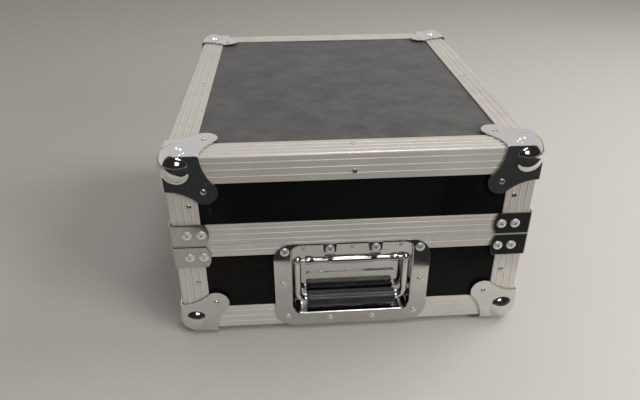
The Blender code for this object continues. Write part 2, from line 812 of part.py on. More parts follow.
def hinge_strap_mesh():
    # Rolled barrel about the local X axis with two riveted tabs; local origin on the pivot
    face = seat + plate_sheet + clearance + handle_pivot_depth
    top = plate_top - handle_pivot_height
    bend = strap_tab_bend - handle_pivot_height
    foot_angle = math.radians(125)
    foot = (math.sin(foot_angle - math.pi / 2), math.cos(foot_angle - math.pi / 2))
    inner = barrel_middle_radius - plate_sheet
    section = [
        (face, top), (face + plate_sheet, top), (face + plate_sheet, bend),
        (foot[0] * barrel_middle_radius + plate_sheet, foot[1] * barrel_middle_radius * 0.9),
        (foot[0] * inner, foot[1] * inner), (face, bend + plate_sheet * 0.5),
    ]
    body = scratch_object("barrel", barrel_mesh())
    tools = []
    for sign in (-1, 1):
        tab = flat_outline([section], -0.5, 0.5)
        for vertex in tab.vertices:
            out, up, along = vertex.co
            share = min(max((top - up) / (top - bend), 0), 1)
            width = strap_tab_top_width + (strap_tab_low_width - strap_tab_top_width) * share
            vertex.co = (sign * strap_tab_reach + along * width, up, out)
        tab.flip_normals()
        tools.append(scratch_object("tab", tab))
        head = rivet(large_rivet_radius, large_rivet_height, 10, plate_sheet / 2)
        up = strap_rivet_height - handle_pivot_height
        spot = at(sign * strap_tab_reach, up, face + plate_sheet)
        tools.append(scratch_object("rivet", moved(head, spot)))
    combine(body, tools, "UNION")
    bore = bail_pin_radius + clearance
    depth = bail_pin_length - (bail_half_span - barrel_half_length) + bail_knuckle_radius
    bores = []
    for low, high in ((barrel_half_length - depth, barrel_half_length + depth),
                      (-barrel_half_length - depth, -barrel_half_length + depth)):
        bores.append(scratch_object("bore", cylinder(bore, low, high, 8, "X")))
    combine(body, bores, "DIFFERENCE")
    return take_mesh(body)


def bail_mesh():
    # U of round rod that hangs from the pivot, with a knuckle and an inward pin at each top end
    bend = bail_bend_radius
    corner = (bail_half_span - bend, -bail_length + bend)
    side = [(bail_half_span, 0)] + list(arc(corner, bend, 0, -90, 4))
    path = side + [(-x, y) for x, y in reversed(side)]
    curve = bpy.data.curves.new("bail", "CURVE")
    curve.dimensions = "3D"
    curve.bevel_depth = bail_rod_radius
    curve.bevel_resolution = 3
    curve.use_fill_caps = True
    spline = curve.splines.new("POLY")
    spline.points.add(len(path) - 1)
    for point, (across, up) in zip(spline.points, path):
        point.co = (across, up, 0, 1)
    source = scratch_object("bail", curve)
    shape = bmesh.new()
    shape.from_mesh(evaluated_mesh(source))
    bpy.data.objects.remove(source)
    bmesh.ops.remove_doubles(shape, verts=shape.verts, dist=0.001 * mm)
    body = scratch_object("bail", mesh_from(shape, "bail"))
    tools = []
    for sign in (-1, 1):
        centre = (sign * bail_half_span, 0, 0)
        tools.append(scratch_object("knuckle", ball(bail_knuckle_radius, centre, 10, 6)))
        inner = bail_half_span - bail_knuckle_radius - bail_pin_length
        low, high = sorted((sign * inner, sign * bail_half_span))
        tools.append(scratch_object("pin", cylinder(bail_pin_radius, low, high, 8, "X")))
    combine(body, tools, "UNION")
    return take_mesh(body)


def grip_mesh():
    # Moulded rubber sleeve with shallow flutes along its length, on the rod of the bail
    outer = []
    flutes = 8
    for index in range(flutes * 3):
        angle = math.tau * index / (flutes * 3)
        radius = grip_radius - (grip_flute if index % 3 == 0 else 0)
        outer.append((radius * math.cos(angle), radius * math.sin(angle)))
    bore = list(arc((0, 0), bail_rod_radius + clearance, 0, 330, 11))
    mesh = flat_outline([outer, bore], -grip_half_length, grip_half_length)
    turn = Matrix.Rotation(math.pi / 2, 4, "Y")
    return moved(mesh, at(0, -bail_length) @ turn)


def add_handle():
    frame = face_frame("front")
    place("handle_dish_plate", dish_plate_mesh(), "chrome", frame)
    pivot = frame @ at(0, handle_pivot_height, -handle_pivot_depth)
    place("handle_hinge_strap", hinge_strap_mesh(), "chrome", pivot)
    bail = place("handle_bail", bail_mesh(), "chrome", pivot)
    place("handle_grip", grip_mesh(), "rubber", pivot, bail)


def handle_cutters():
    # Cut-out for the pocket, shallow notch for the sloping top of the dish, relief in the foam
    frame = face_frame("front")
    room = plate_sheet + clearance + pocket_rim_radius
    width = pocket_half_width + room
    out = seat + plate_sheet
    hole = block((-width, pocket_bottom - room, -foam_outer + clearance / 2),
                 (width, ramp_top - pocket_rim_radius, out))
    notch = block((-width, lip_bottom - clearance, -web_depth + clearance / 2),
                  (width, ramp_top + pocket_rim_radius + clearance, out))
    relief_depth = pocket_depth + plate_sheet + clearance
    relief = block((-width, pocket_bottom - room, -relief_depth), (width, ramp_top, out))
    return (place_cutter("handle_cut_out", hole, frame),
            place_cutter("handle_ramp_notch", notch, frame),
            place_cutter("handle_foam_relief", relief, frame))


# Butterfly catches: local X across, Y up from the underside, Z outward

def catch_levels():
    bottom = seam_height - catch_below
    top = seam_height + catch_above
    floor = -(panel_inner - catch_sheet)
    face = -panel_outer + clearance + catch_sheet
    return bottom, top, floor, face


def catch_dish_mesh(lower):
    # Half of a pressed dish that is split along the seam
    bottom, top, floor, face = catch_levels()
    half = catch_half_width
    pocket = half - catch_flange
    shell = scratch_object("dish", flat_outline([rounded_rectangle(
        -half, half, bottom, top, catch_corner_radius, 3)], face - catch_sheet, face))
    well = rounded_rectangle(-pocket - catch_sheet, pocket + catch_sheet,
                             bottom + catch_flange - catch_sheet, top - catch_flange + catch_sheet,
                             catch_pocket_radius + catch_sheet, 3)
    hollow = rounded_rectangle(-pocket, pocket, bottom + catch_flange, top - catch_flange,
                               catch_pocket_radius, 3)
    well = scratch_object("well", flat_outline([well], floor - catch_sheet, face))
    combine(shell, [well], "UNION")
    combine(shell, [scratch_object("hollow", flat_outline([hollow], floor, face + catch_sheet))],
            "DIFFERENCE")
    beyond = 2 * half
    if lower:
        away = block((-beyond, seam_height, -beyond), (beyond, beyond * 2, beyond))
        combine(shell, [scratch_object("away", away)], "DIFFERENCE")
        axle = cylinder(boss_stub_radius + clearance, floor - 2 * catch_sheet, floor + catch_sheet, 12)
        axle = moved(axle, at(0, seam_height - boss_below_seam))
        combine(shell, [scratch_object("axle", axle)], "DIFFERENCE")
        return take_mesh(shell)
    away = block((-beyond, -beyond, -beyond), (beyond, lid_base, beyond))
    combine(shell, [scratch_object("away", away)], "DIFFERENCE")
    ledge_top = seam_height + keeper_height
    keeper = block((-keeper_half_width, ledge_top - keeper_thickness, floor - catch_sheet / 2),
                   (keeper_half_width, ledge_top, floor + keeper_stand))
    combine(shell, [scratch_object("keeper", keeper)], "UNION")
    return take_mesh(shell)


def hook_mesh():
    # Drawn as it lies when latched, about the boss axis, then lifted and moved out to rest
    floor = catch_levels()[2]
    slot = cam_radius + cam_play
    wide = slot + cam_throw + hook_rail
    centre = -cam_throw
    claw_low = keeper_height + boss_below_seam + clearance
    claw_top = claw_low + claw_thickness
    neck = hook_neck_half_width
    shoulder = centre + slot + hook_rail
    outline = [(-wide + 3 * mm, centre - slot - hook_rail), (wide - 3 * mm, centre - slot - hook_rail),
               (wide, centre - slot - hook_rail + 3 * mm), (wide, shoulder - 3 * mm),
               (neck, shoulder + 4 * mm), (neck, claw_top), (-neck, claw_top),
               (-neck, shoulder + 4 * mm), (-wide, shoulder - 3 * mm),
               (-wide, centre - slot - hook_rail + 3 * mm)]
    window = rounded_rectangle(-slot - cam_throw, slot + cam_throw, centre - slot, centre + slot, slot, 5)
    back = floor + keeper_stand + clearance
    body = scratch_object("hook", flat_outline([outline, window], back, back + hook_sheet))
    claw = block((-keeper_half_width, claw_low, floor + clearance),
                 (keeper_half_width, claw_top, back + hook_sheet / 2))
    combine(body, [scratch_object("claw", claw)], "UNION")
    return moved(take_mesh(body), at(0, 2 * cam_throw, hook_out))


def boss_mesh():
    # Eccentric cam on the axle stub, with two ears for the wing; drawn released, cam at the top
    floor = catch_levels()[2]
    face = boss_face_stand
    body = scratch_object("boss", moved(cylinder(cam_radius, floor + clearance, face, 24),
                                        at(0, cam_throw)))
    tools = [scratch_object("stub", cylinder(boss_stub_radius, floor - catch_sheet * 0.8, face / 2, 12))]
    pin_out = face + wing_pin_stand
    for sign in (-1, 1):
        near = wing_knuckle_half + clearance
        low, high = sorted((sign * near, sign * (near + ear_thickness)))
        ear = block((low, -ear_half_height, face / 2), (high, ear_half_height, pin_out + ear_crown))
        tools.append(scratch_object("ear", ear))
    combine(body, tools, "UNION")
    width = wing_knuckle_half + 2 * ear_thickness
    bore = moved(cylinder(wing_pin_radius + clearance, -width, width, 10, "X"), at(0, 0, pin_out))
    combine(body, [scratch_object("bore", bore)], "DIFFERENCE")
    return take_mesh(body)


def wing_mesh():
    # Two-lobed wing that hangs flat from its hinge pin; local origin on the pin
    half = wing_thickness / 2
    lobe = wing_length * 0.4
    start = wing_pin_radius + clearance
    neck = math.hypot(ear_half_height, ear_crown) + clearance
    side = [(wing_knuckle_half, 0), (wing_knuckle_half, -neck)]
    side += list(arc((wing_half_width - lobe, -neck - lobe), lobe, 60, -90, 6))
    side += [(lobe * 0.35, -wing_length + 1.2 * mm)]
    outline = side + [(-x, y) for x, y in reversed(side)]
    body = scratch_object("wing", flat_outline([outline], -half, half))
    knuckle = cylinder(start + 0.3 * mm, -wing_knuckle_half, wing_knuckle_half, 12, "X")
    reach = wing_knuckle_half + clearance + ear_thickness * 0.9
    pin = cylinder(wing_pin_radius, -reach, reach, 10, "X")
    combine(body, [scratch_object("knuckle", knuckle), scratch_object("pin", pin)], "UNION")
    return take_mesh(body)


def add_catches():
    meshes = {
        "dish": catch_dish_mesh(True),
        "keeper": catch_dish_mesh(False),
        "hook": hook_mesh(),
        "boss": boss_mesh(),
        "wing": wing_mesh(),
    }
    for side in ("left", "right"):
        frame = face_frame(side)
        place(f"catch_dish_{side}", meshes["dish"], "zinc", frame)
        place(f"catch_keeper_{side}", meshes["keeper"], "zinc", frame)
        axle = frame @ at(0, seam_height - boss_below_seam)
        boss = place(f"catch_boss_{side}", meshes["boss"], "zinc", axle)
        place(f"catch_hook_{side}", meshes["hook"], "zinc", axle)
        pin = axle @ at(0, 0, boss_face_stand + wing_pin_stand)
        place(f"catch_wing_{side}", meshes["wing"], "zinc", pin, boss)


def catch_cut_outs():
    # Flange recess in the outer wall of the lips, and the deeper cut for the dish itself
    bottom, top = catch_levels()[:2]
    out = seat + catch_sheet
    room = 2 * clearance
    half = catch_half_width + room
    flange = block((-half, bottom - room, -panel_outer), (half, top + room, out))
    width = catch_half_width - catch_flange + catch_sheet + room
    low = bottom + catch_flange - catch_sheet - room
    high = top - catch_flange + catch_sheet + room
    well = block((-width, low, -panel_inner - clearance / 2), (width, high, out))
    deep_well = block((-width, low, -panel_inner - clearance), (width, high, out))
    body = scratch_object("flange", flange)
    combine(body, [scratch_object("well", well)], "UNION")
    stepped = take_mesh(body)
    lip_cutters = []
    panel_cutters = {}
    for side in ("left", "right"):
        frame = face_frame(side)
        lip_cutters.append(place_cutter(f"catch_cut_out_{side}", stepped, frame))
        panel_cutters[side] = place_cutter(f"catch_well_{side}", deep_well, frame)
    return lip_cutters, panel_cutters


clear_scene()
parts = make_collection("mixer_flight_case")
cutters = make_collection("cutters")
handle_cutter, ramp_cutter, dish_relief_cutter = handle_cutters()
catch_cutters, catch_pocket_cutters = catch_cut_outs()
edges = add_edges()
cut_with(edges["bottom_front_edge"], handle_cutter)
add_posts()
add_lips()
add_panels()
add_ball_corners()
add_braces()
add_foam()
add_handle()
add_catches()
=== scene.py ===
# Looks of the mixer flight case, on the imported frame
import cmath
import math

import bpy
from mathutils import Matrix, Vector


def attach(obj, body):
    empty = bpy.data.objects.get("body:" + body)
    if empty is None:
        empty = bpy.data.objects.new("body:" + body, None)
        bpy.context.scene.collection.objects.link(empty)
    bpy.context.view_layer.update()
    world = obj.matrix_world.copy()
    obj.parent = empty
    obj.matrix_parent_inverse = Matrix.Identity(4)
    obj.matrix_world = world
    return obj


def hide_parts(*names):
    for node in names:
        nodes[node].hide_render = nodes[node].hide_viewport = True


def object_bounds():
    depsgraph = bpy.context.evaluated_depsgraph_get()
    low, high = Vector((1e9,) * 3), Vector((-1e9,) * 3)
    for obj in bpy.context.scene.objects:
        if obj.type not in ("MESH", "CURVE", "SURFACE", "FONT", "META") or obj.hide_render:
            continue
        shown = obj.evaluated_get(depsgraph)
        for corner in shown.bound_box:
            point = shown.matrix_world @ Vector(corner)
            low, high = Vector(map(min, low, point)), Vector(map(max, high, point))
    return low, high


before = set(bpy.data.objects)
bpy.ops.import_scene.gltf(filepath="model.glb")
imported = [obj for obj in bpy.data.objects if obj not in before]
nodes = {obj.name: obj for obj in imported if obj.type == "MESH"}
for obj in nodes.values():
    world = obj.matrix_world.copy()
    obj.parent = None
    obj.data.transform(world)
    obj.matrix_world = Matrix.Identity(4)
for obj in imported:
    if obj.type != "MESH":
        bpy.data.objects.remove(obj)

cadBox = [list(corner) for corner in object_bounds()]
print("frame loaded:", len(nodes), "nodes")


# Sizes are written in millimetres and used in metres
def inMetres(sizes):
    def scaled(value):
        if isinstance(value, (int, float)):
            return value * 0.001
        return tuple(scaled(entry) for entry in value)
    return {name: scaled(value) for name, value in sizes.items()}


def take(values, *names):
    return [values[name] for name in names]


case = inMetres({
    "width": 372, "depth": 438, "height": 214,
    "stand": 7.3,  # the ball corners hold the body this far above the floor
    "seam": 112.5, "seamGap": 0.4,
    "seat": 0.65,  # fittings lie this far above the faces, on the ribs
})
halfWidth = case["width"] / 2
halfDepth = case["depth"] / 2
hair = 0.000002  # points closer than this are one point
almostRound = 0.999  # keeps the arcs of a fully rounded end apart
softAngle = math.radians(60)  # edges sharper than this are rounded
smoothAngle = math.radians(32)  # edges blunter than this are shaded smooth
flatAngle = 0.0005  # faces that differ by less than this lie in one plane

# Each end of the case with its shell, direction and height, then the outward directions
levels = {"bottom": ("base", -1, case["stand"]), "top": ("lid", 1, case["stand"] + case["height"])}
sides = {"front": (0, -1), "rear": (0, 1), "left": (-1, 0), "right": (1, 0)}
corners = {"front_left": (-1, -1), "front_right": (1, -1), "rear_left": (-1, 1), "rear_right": (1, 1)}

# The view of the photograph
camera = {
    "place": (-0.0672, -0.7279, 0.4643),
    "turn": (59.931, 0.228, -3.822),
    "lens": 33.03,
    "sensor": 36,
    "nearest": 0.01,
}


def linked(data):
    item = bpy.data.objects.new(data.name, data)
    bpy.context.scene.collection.objects.link(item)
    return item


def addCamera(values):
    data = bpy.data.cameras.new("camera")
    data.lens = values["lens"]
    data.sensor_width = values["sensor"]
    data.clip_start = values["nearest"]
    item = linked(data)
    item.location = values["place"]
    item.rotation_euler = [math.radians(angle) for angle in values["turn"]]
    bpy.context.scene.camera = item


addCamera(camera)
bpy.context.scene.view_settings.view_transform = "Standard"
print("camera ready")


# Places on the case: each face has its own right, up and outward directions

def axesFrame(origin, first, second):
    first, second = Vector(first), Vector(second)
    turn = Matrix((first, second, first.cross(second))).transposed().to_4x4()
    return Matrix.Translation(origin) @ turn


def faceFrame(side):
    if side in levels:
        body, upward, height = levels[side]
        return axesFrame((0, 0, height), (1, 0, 0), (0, upward, 0))
    x, y = sides[side]
    return axesFrame((x * halfWidth, y * halfDepth, case["stand"]), (-y, x, 0), (0, 0, 1))


def cornerFrame(x, y, height, upward):
    # Both sides look outward, in the order that turns the third direction upward or downward
    first, second = (x, 0, 0), (0, y, 0)
    if x * y * upward < 0:
        first, second = second, first
    return axesFrame((x * halfWidth, y * halfDepth, height), first, second)


def at(across, up, out=0.0):
    return Matrix.Translation((across, up, out))


# Working helpers

def pick(*items):
    bpy.ops.object.select_all(action="DESELECT")
    for item in items:
        item.select_set(True)
    bpy.context.view_layer.objects.active = items[0]


def edit(item, *steps):
    pick(item)
    bpy.ops.object.mode_set(mode="EDIT")
    bpy.ops.mesh.select_mode(type="VERT")
    bpy.ops.mesh.select_all(action="SELECT")
    for step in steps:
        step()
    bpy.ops.object.mode_set(mode="OBJECT")
    return item


def mergeDoubles(reach=hair):
    bpy.ops.mesh.remove_doubles(threshold=reach)


def evenNormals():
    bpy.ops.mesh.normals_make_consistent(inside=False)


def modified(item, kind, **settings):
    modifier = item.modifiers.new(kind, kind)
    for label, value in settings.items():
        setattr(modifier, label, value)
    pick(item)
    bpy.ops.object.modifier_apply(modifier=modifier.name)
    return item


def softenEdges(item, width, segments=2):
    return modified(item, "BEVEL", width=width, segments=segments, limit_method="ANGLE",
                    angle_limit=softAngle, use_clamp_overlap=True)


def thicken(item, sheet):
    # The wall grows inwards from the outer face
    return modified(item, "SOLIDIFY", thickness=sheet, offset=-1)


def cutAway(item, tool):
    modified(item, "BOOLEAN", operation="DIFFERENCE", solver="EXACT", object=tool)
    discard(tool)
    return item


def faceOutward(item, direction):
    # An open skin is turned over if most of it looks the wrong way
    total = Vector()
    for face in item.data.polygons:
        total += face.normal * face.area
    if total.dot(Vector(direction)) < 0:
        edit(item, bpy.ops.mesh.flip_normals)
    return item


def settle(item, matrix):
    # The place goes into the mesh, so the object stays at the origin
    item.data.transform(matrix)
    return item


def copyOf(item, matrix=Matrix.Identity(4)):
    return settle(linked(item.data.copy()), matrix)


def joinAll(items):
    pick(*items)
    bpy.ops.object.join()
    return bpy.context.active_object


def discard(*items):
    for item in items:
        bpy.data.objects.remove(item)


def curveMesh(lines, closed=False, **settings):
    # Lines through given points, turned into a mesh
    curve = bpy.data.curves.new("line", "CURVE")
    for label, value in settings.items():
        setattr(curve, label, value)
    for line in lines:
        spline = curve.splines.new("POLY")
        spline.points.add(len(line) - 1)
        for point, place in zip(spline.points, line):
            point.co = (*place, 1)
        spline.use_cyclic_u = closed
    pick(linked(curve))
    bpy.ops.object.convert(target="MESH")
    return bpy.context.active_object


def prism(loops, low, high):
    # Closed outlines, filled and raised from low to high
    item = curveMesh([raised(loop, 0) for loop in loops], True, dimensions="2D", fill_mode="BOTH",
                     extrude=(high - low) / 2)
    edit(item, mergeDoubles, lambda: bpy.ops.mesh.dissolve_limited(angle_limit=flatAngle), evenNormals)
    return settle(item, at(0, 0, (low + high) / 2))


def turnedShape(profile, steps, axis="Z"):
    # Pairs of radius and height, spun once round
    item = curveMesh([[(radius, 0, height) for radius, height in profile]], dimensions="3D")
    edit(item, lambda: bpy.ops.mesh.spin(steps=steps, angle=math.tau, center=(0, 0, 0), axis=(0, 0, 1)),
         lambda: bpy.ops.mesh.select_all(action="SELECT"), mergeDoubles, evenNormals)
    if axis == "X":
        settle(item, Matrix.Rotation(math.pi / 2, 4, "Y"))
    return item


def cylinder(radius, low, high, steps=32, axis="Z"):
    return turnedShape([(0, low), (radius, low), (radius, high), (0, high)], steps, axis)


def block(low, high):
    bpy.ops.mesh.primitive_cube_add(size=1)
    middle = (Vector(low) + Vector(high)) / 2
    return settle(bpy.context.active_object, Matrix.LocRotScale(middle, None, Vector(high) - Vector(low)))


def boxCut(item, side, half, low, high, inner, outer):
    # A box measured on one face of the case is taken away
    return cutAway(item, settle(block((-half, low, inner), (half, high, outer)), faceFrame(side)))


def shapedGrid(columns, rows, placeOf):
    # A flat grid whose crossings are pulled onto the shape
    bpy.ops.mesh.primitive_grid_add(x_subdivisions=columns, y_subdivisions=rows, size=1)
    item = bpy.context.active_object
    for vertex in item.data.vertices:
        column = round((vertex.co.x + 0.5) * columns)
        row = round((vertex.co.y + 0.5) * rows)
        vertex.co = placeOf(column, row)
    return edit(item, mergeDoubles, bpy.ops.mesh.delete_loose, evenNormals)


def loopShell(loops):
    # A skin over closed loops with the same number of points
    count = len(loops[0])
    return shapedGrid(count, len(loops) - 1, lambda column, row: loops[row][column % count])


def arc(centre, radius, start, end, steps):
    points = []
    for step in range(steps + 1):
        angle = math.radians(start + (end - start) * step / steps)
        points.append((centre[0] + radius * math.cos(angle), centre[1] + radius * math.sin(angle)))
    return points


def quarter(steps):
    # Sine and cosine at even steps from 0 to 90 degrees
    return [(y, x) for x, y in arc((0, 0), 1, 0, 90, steps)]


def raised(line, out):
    return [(x, y, out) for x, y in line]


def mirrored(half):
    return half + [(-x, y) for x, y in reversed(half)]


def roundedLoop(left, right, bottom, top, radius, steps):
    points = arc((right - radius, top - radius), radius, 0, 90, steps)
    points += arc((left + radius, top - radius), radius, 90, 180, steps)
    points += arc((left + radius, bottom + radius), radius, 180, 270, steps)
    points += arc((right - radius, bottom + radius), radius, 270, 360, steps)
    return points


def arcThrough(start, middle, end, steps):
    # The circle through three points, from the first to the last without the first itself
    first, second, last = (complex(*point) for point in (start, middle, end))
    ratio = (last - first) / (second - first)
    centre = first + (second - first) * (ratio - abs(ratio) ** 2) / (2j * ratio.imag)
    spoke = first - centre
    turn = cmath.phase((last - centre) / spoke)
    points = [centre + spoke * cmath.rect(1, turn * (step + 1) / steps) for step in range(steps)]
    return [(point.real, point.imag) for point in points]


def eased(start, end, steps):
    # The first value swings smoothly from start to end while the second runs evenly
    points = []
    for step in range(1, steps + 1):
        share = step / steps
        ease = share * share * (3 - 2 * share)
        points.append((start[0] + (end[0] - start[0]) * ease, start[1] + (end[1] - start[1]) * share))
    return points


def finishPiece(item, name, body, finish, *replaced):
    slot, material = finish
    item.name = name
    item.data.name = name
    item.data.materials.clear()
    item.data.materials.append(material)
    pick(item)
    bpy.ops.object.shade_smooth_by_angle(angle=smoothAngle)
    modified(item, "WEIGHTED_NORMAL", keep_sharp=True)
    if replaced:
        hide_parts(*replaced)
    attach(item, body)


def finishCorners(item, height, upward, name, body, finish, node):
    # A copy for each upright corner, whose name goes after the names of piece and node
    for corner, (x, y) in corners.items():
        piece = copyOf(item, cornerFrame(x, y, height, upward))
        finishPiece(piece, name + corner, body, finish, node + corner)


# Shader nodes: an output is linked to a socket, a plain value is set in it

def feed(tree, socket, value):
    if isinstance(value, bpy.types.NodeSocket):
        tree.links.new(value, socket)
    elif socket.type == "RGBA":
        socket.default_value = (*value, 1)
    else:
        socket.default_value = value


def addNode(tree, kind, inputs, **settings):
    node = tree.nodes.new("ShaderNode" + kind)
    for label, value in settings.items():
        setattr(node, label, value)
    for label, value in inputs.items():
        feed(tree, node.inputs[label], value)
    return node


def combine(tree, operation, first, second):
    return addNode(tree, "Math", {0: first, 1: second}, operation=operation).outputs[0]


def times(tree, first, second):
    return combine(tree, "MULTIPLY", first, second)


def minus(tree, first, second):
    return combine(tree, "SUBTRACT", first, second)


def remap(tree, value, low, high, to=(0, 1)):
    spans = {"Value": value, "From Min": low, "From Max": high, "To Min": to[0], "To Max": to[1]}
    return addNode(tree, "MapRange", spans, interpolation_type="SMOOTHSTEP").outputs["Result"]


def mixColour(tree, share, first, second):
    return addNode(tree, "Mix", {0: share, 6: first, 7: second}, data_type="RGBA").outputs[2]


def addNoise(tree, vector, **inputs):
    return addNode(tree, "TexNoise", {"Vector": vector, **inputs}).outputs[0]


def newMaterial(name):
    material = bpy.data.materials.new(name)
    material.use_nodes = True
    return material, material.node_tree, material.node_tree.nodes["Principled BSDF"]


# Masks of wear that several finishes share

def openGroup(name, *amounts):
    group = bpy.data.node_groups.new(name, "ShaderNodeTree")
    group.interface.new_socket("Vector", in_out="INPUT", socket_type="NodeSocketVector")
    for label in amounts:
        group.interface.new_socket(label, in_out="INPUT", socket_type="NodeSocketFloat")
    group.interface.new_socket("Mask", in_out="OUTPUT", socket_type="NodeSocketFloat")
    return group, group.nodes.new("NodeGroupInput").outputs


def closeGroup(group, mask):
    feed(group, group.nodes.new("NodeGroupOutput").inputs["Mask"], mask)
    return group


def buildScratches(thin=0.006, fade=0.08, sparse=0.6):
    # Thin broken lines: contours of a stretched noise, let through in places only
    group, given = openGroup("scratches", "Scale", "Cover")
    vector, scale = given["Vector"], given["Scale"]
    lines = addNoise(group, vector, Scale=scale, Detail=3.0, Roughness=0.55, Distortion=0.7)
    places = addNoise(group, vector, Scale=times(group, scale, sparse), Detail=4.0)
    off = combine(group, "ABSOLUTE", minus(group, lines, 0.5), 0)
    inside = minus(group, places, minus(group, 1.0, given["Cover"]))
    lines = remap(group, off, 0.0, thin, (1, 0))
    return closeGroup(group, times(group, lines, remap(group, inside, 0.0, fade)))


def buildSmudges():
    # Wide cloudy patches of handling and wiping
    group, given = openGroup("smudges", "Scale")
    wide = addNoise(group, given["Vector"], Scale=given["Scale"], Detail=5.0, Roughness=0.6, Distortion=0.4)
    return closeGroup(group, remap(group, wide, 0.3, 0.7))


def buildDustAndShade():
    # Dust that settles on what looks up, thicker in patches; on the aluminium it is also painted shade that
    # darkens the upward faces
    group, given = openGroup("dustAndShade", "Amount")
    normal = addNode(group, "NewGeometry", {}).outputs["Normal"]
    up = remap(group, addNode(group, "SeparateXYZ", {0: normal}).outputs["Z"], 0.2, 1.0)
    patches = addNoise(group, given["Vector"], Scale=38.0, Detail=6.0, Roughness=0.7)
    cover = times(group, remap(group, patches, 0.3, 0.75, (0.6, 1)), up)
    return closeGroup(group, times(group, cover, given["Amount"]))


effects = {"scratches": buildScratches(), "smudges": buildSmudges(), "dustAndShade": buildDustAndShade()}


def summed(tree, total, masks, shares):
    for mask, share in shares.items():
        total = combine(tree, "ADD", total, times(tree, masks[mask], share))
    return total


def addScuffs(tree, place, colour, values):
    ragged = addNoise(tree, place, **values["edge"])
    for x, y in values["spots"]:
        spot = (x, y, cadBox[1][2] - values["sunk"])
        away = addNode(tree, "VectorMath", {0: place, 1: spot}, operation="DISTANCE").outputs["Value"]
        worn = times(tree, remap(tree, away, *values["size"], (values["share"], 0)), ragged)
        colour = mixColour(tree, worn, colour, values["colour"])
    return colour


def buildFinish(name, values, axis=""):
    # Each layer is a mask with its share and the colour that it brings
    material, tree, shader = newMaterial(name)
    place = addNode(tree, "TexCoord", {}).outputs["Object"]
    masks = {}
    for effect, group in effects.items():
        if effect in values:
            inputs = {"Vector": place, **values[effect]}
            masks[effect] = addNode(tree, "Group", inputs, node_tree=group).outputs[0]
    if "texture" in values:
        kind, inputs = values["texture"]
        vector = place
        if axis:
            scale = [values["along"] if entry == axis else values["across"] for entry in "XYZ"]
            vector = addNode(tree, "Mapping", {"Vector": place, "Scale": scale}).outputs[0]
        masks["texture"] = addNode(tree, kind, {"Vector": vector, **inputs}).outputs[0]
    # Painted shade: the low cells of the texture mark the pores, which are darkened
    if "shadedPores" in values:
        masks["shadedPores"] = remap(tree, masks["texture"], *values["shadedPores"], (1, 0))
    if "mark" in values:
        masks["mark"] = addNode(tree, "Attribute", {}, attribute_name=values["mark"]).outputs["Fac"]
    colour = values["colour"]
    for mask, (share, over) in values["layers"].items():
        colour = mixColour(tree, times(tree, masks[mask], share), colour, over)
    if "scuffs" in values:
        colour = addScuffs(tree, place, colour, values["scuffs"])
    mask, low, high, gloss = values["gloss"]
    rough = summed(tree, remap(tree, masks[mask], low, high, gloss), masks, values.get("rougher", {}))
    metal = summed(tree, values.get("metal", 0), masks, values.get("lessMetal", {}))
    strength, distance = values["bump"]
    relief = {"Height": summed(tree, 0, masks, values["relief"]), "Strength": strength, "Distance": distance}
    ends = {"Base Color": colour, "Roughness": rough, "Metallic": metal,
            "Specular IOR Level": values.get("shine", 0.5),
            "Normal": addNode(tree, "Bump", relief).outputs["Normal"]}
    for label, value in ends.items():
        feed(tree, shader.inputs[label], value)
    return material


# Black laminate of the plywood panels
laminate = {
    "texture": ("TexNoise", {"Scale": 900.0, "Detail": 2.0}),
    "smudges": {"Scale": 9.0},
    "scratches": {"Scale": 45.0, "Cover": 0.42},
    "dustAndShade": {"Amount": 0.34},
    "colour": (0.0025, 0.0025, 0.0025),
    "layers": {
        "smudges": (0.5, (0.006, 0.006, 0.006)),
        "scratches": (0.15, (0.12, 0.115, 0.11)),
        "dustAndShade": (1, (0.26, 0.247, 0.23)),
    },
    "scuffs": {
        "spots": ((-0.0328, 0.0702), (-0.0144, 0.0979)),
        "size": (0.0012, 0.0055),
        "sunk": 0.0017,  # the top panel lies this far below the highest point
        "edge": {"Scale": 260.0, "Detail": 3.0},
        "share": 0.9,
        "colour": (0.40, 0.39, 0.37),
    },
    "gloss": ("smudges", 0, 1, (0.26, 0.36)),
    "rougher": {"dustAndShade": 0.5},
    "shine": 0.11,
    "relief": {"texture": 1, "scratches": -0.8},
    "bump": (0.25, 0.0002),
}

# Satin anodised aluminium, drawn along its length
extrusion = {
    "texture": ("TexNoise", {"Scale": 1.0, "Detail": 3.0, "Roughness": 0.6}),
    "along": 6.0,  # how dense the die lines are along the length and across it
    "across": 900.0,
    "smudges": {"Scale": 16.0},
    "scratches": {"Scale": 80.0, "Cover": 0.45},
    # the dust on the upward faces is partly real dust and partly painted shade that darkens the tops
    "dustAndShade": {"Amount": 0.62},
    "colour": (0.68, 0.645, 0.59),
    "layers": {
        "smudges": (1, (0.60, 0.57, 0.52)),
        "dustAndShade": (1, (0.40, 0.365, 0.31)),
        "scratches": (0.35, (0.30, 0.29, 0.27)),
    },
    "gloss": ("texture", 0.3, 0.7, (0.28, 0.40)),
    "rougher": {"smudges": 0.06},
    "metal": 0.58,
    "relief": {"texture": 1, "scratches": -0.6},
    "bump": (0.22, 0.0001),
}


def plate(colour, dull, gloss, head, headGloss, headPaint):
    # Plated steel, with rivet heads that differ from the sheet in colour, gloss and metal
    return {
        "smudges": {"Scale": 30.0},
        "scratches": {"Scale": 150.0, "Cover": 0.42},
        "dustAndShade": {"Amount": 0.08},
        "mark": "head",
        "colour": colour,
        "layers": {"smudges": (0.35, dull), "dustAndShade": (1, (0.40, 0.38, 0.36)), "mark": (1, head)},
        "gloss": ("smudges", 0, 1, gloss),
        "rougher": {"mark": headGloss, "scratches": 0.25, "dustAndShade": 0.8},
        "metal": 1.0,
        "lessMetal": {"mark": -headPaint},
        "relief": {"smudges": 1, "scratches": -1},
        "bump": (0.10, 0.0001),
    }
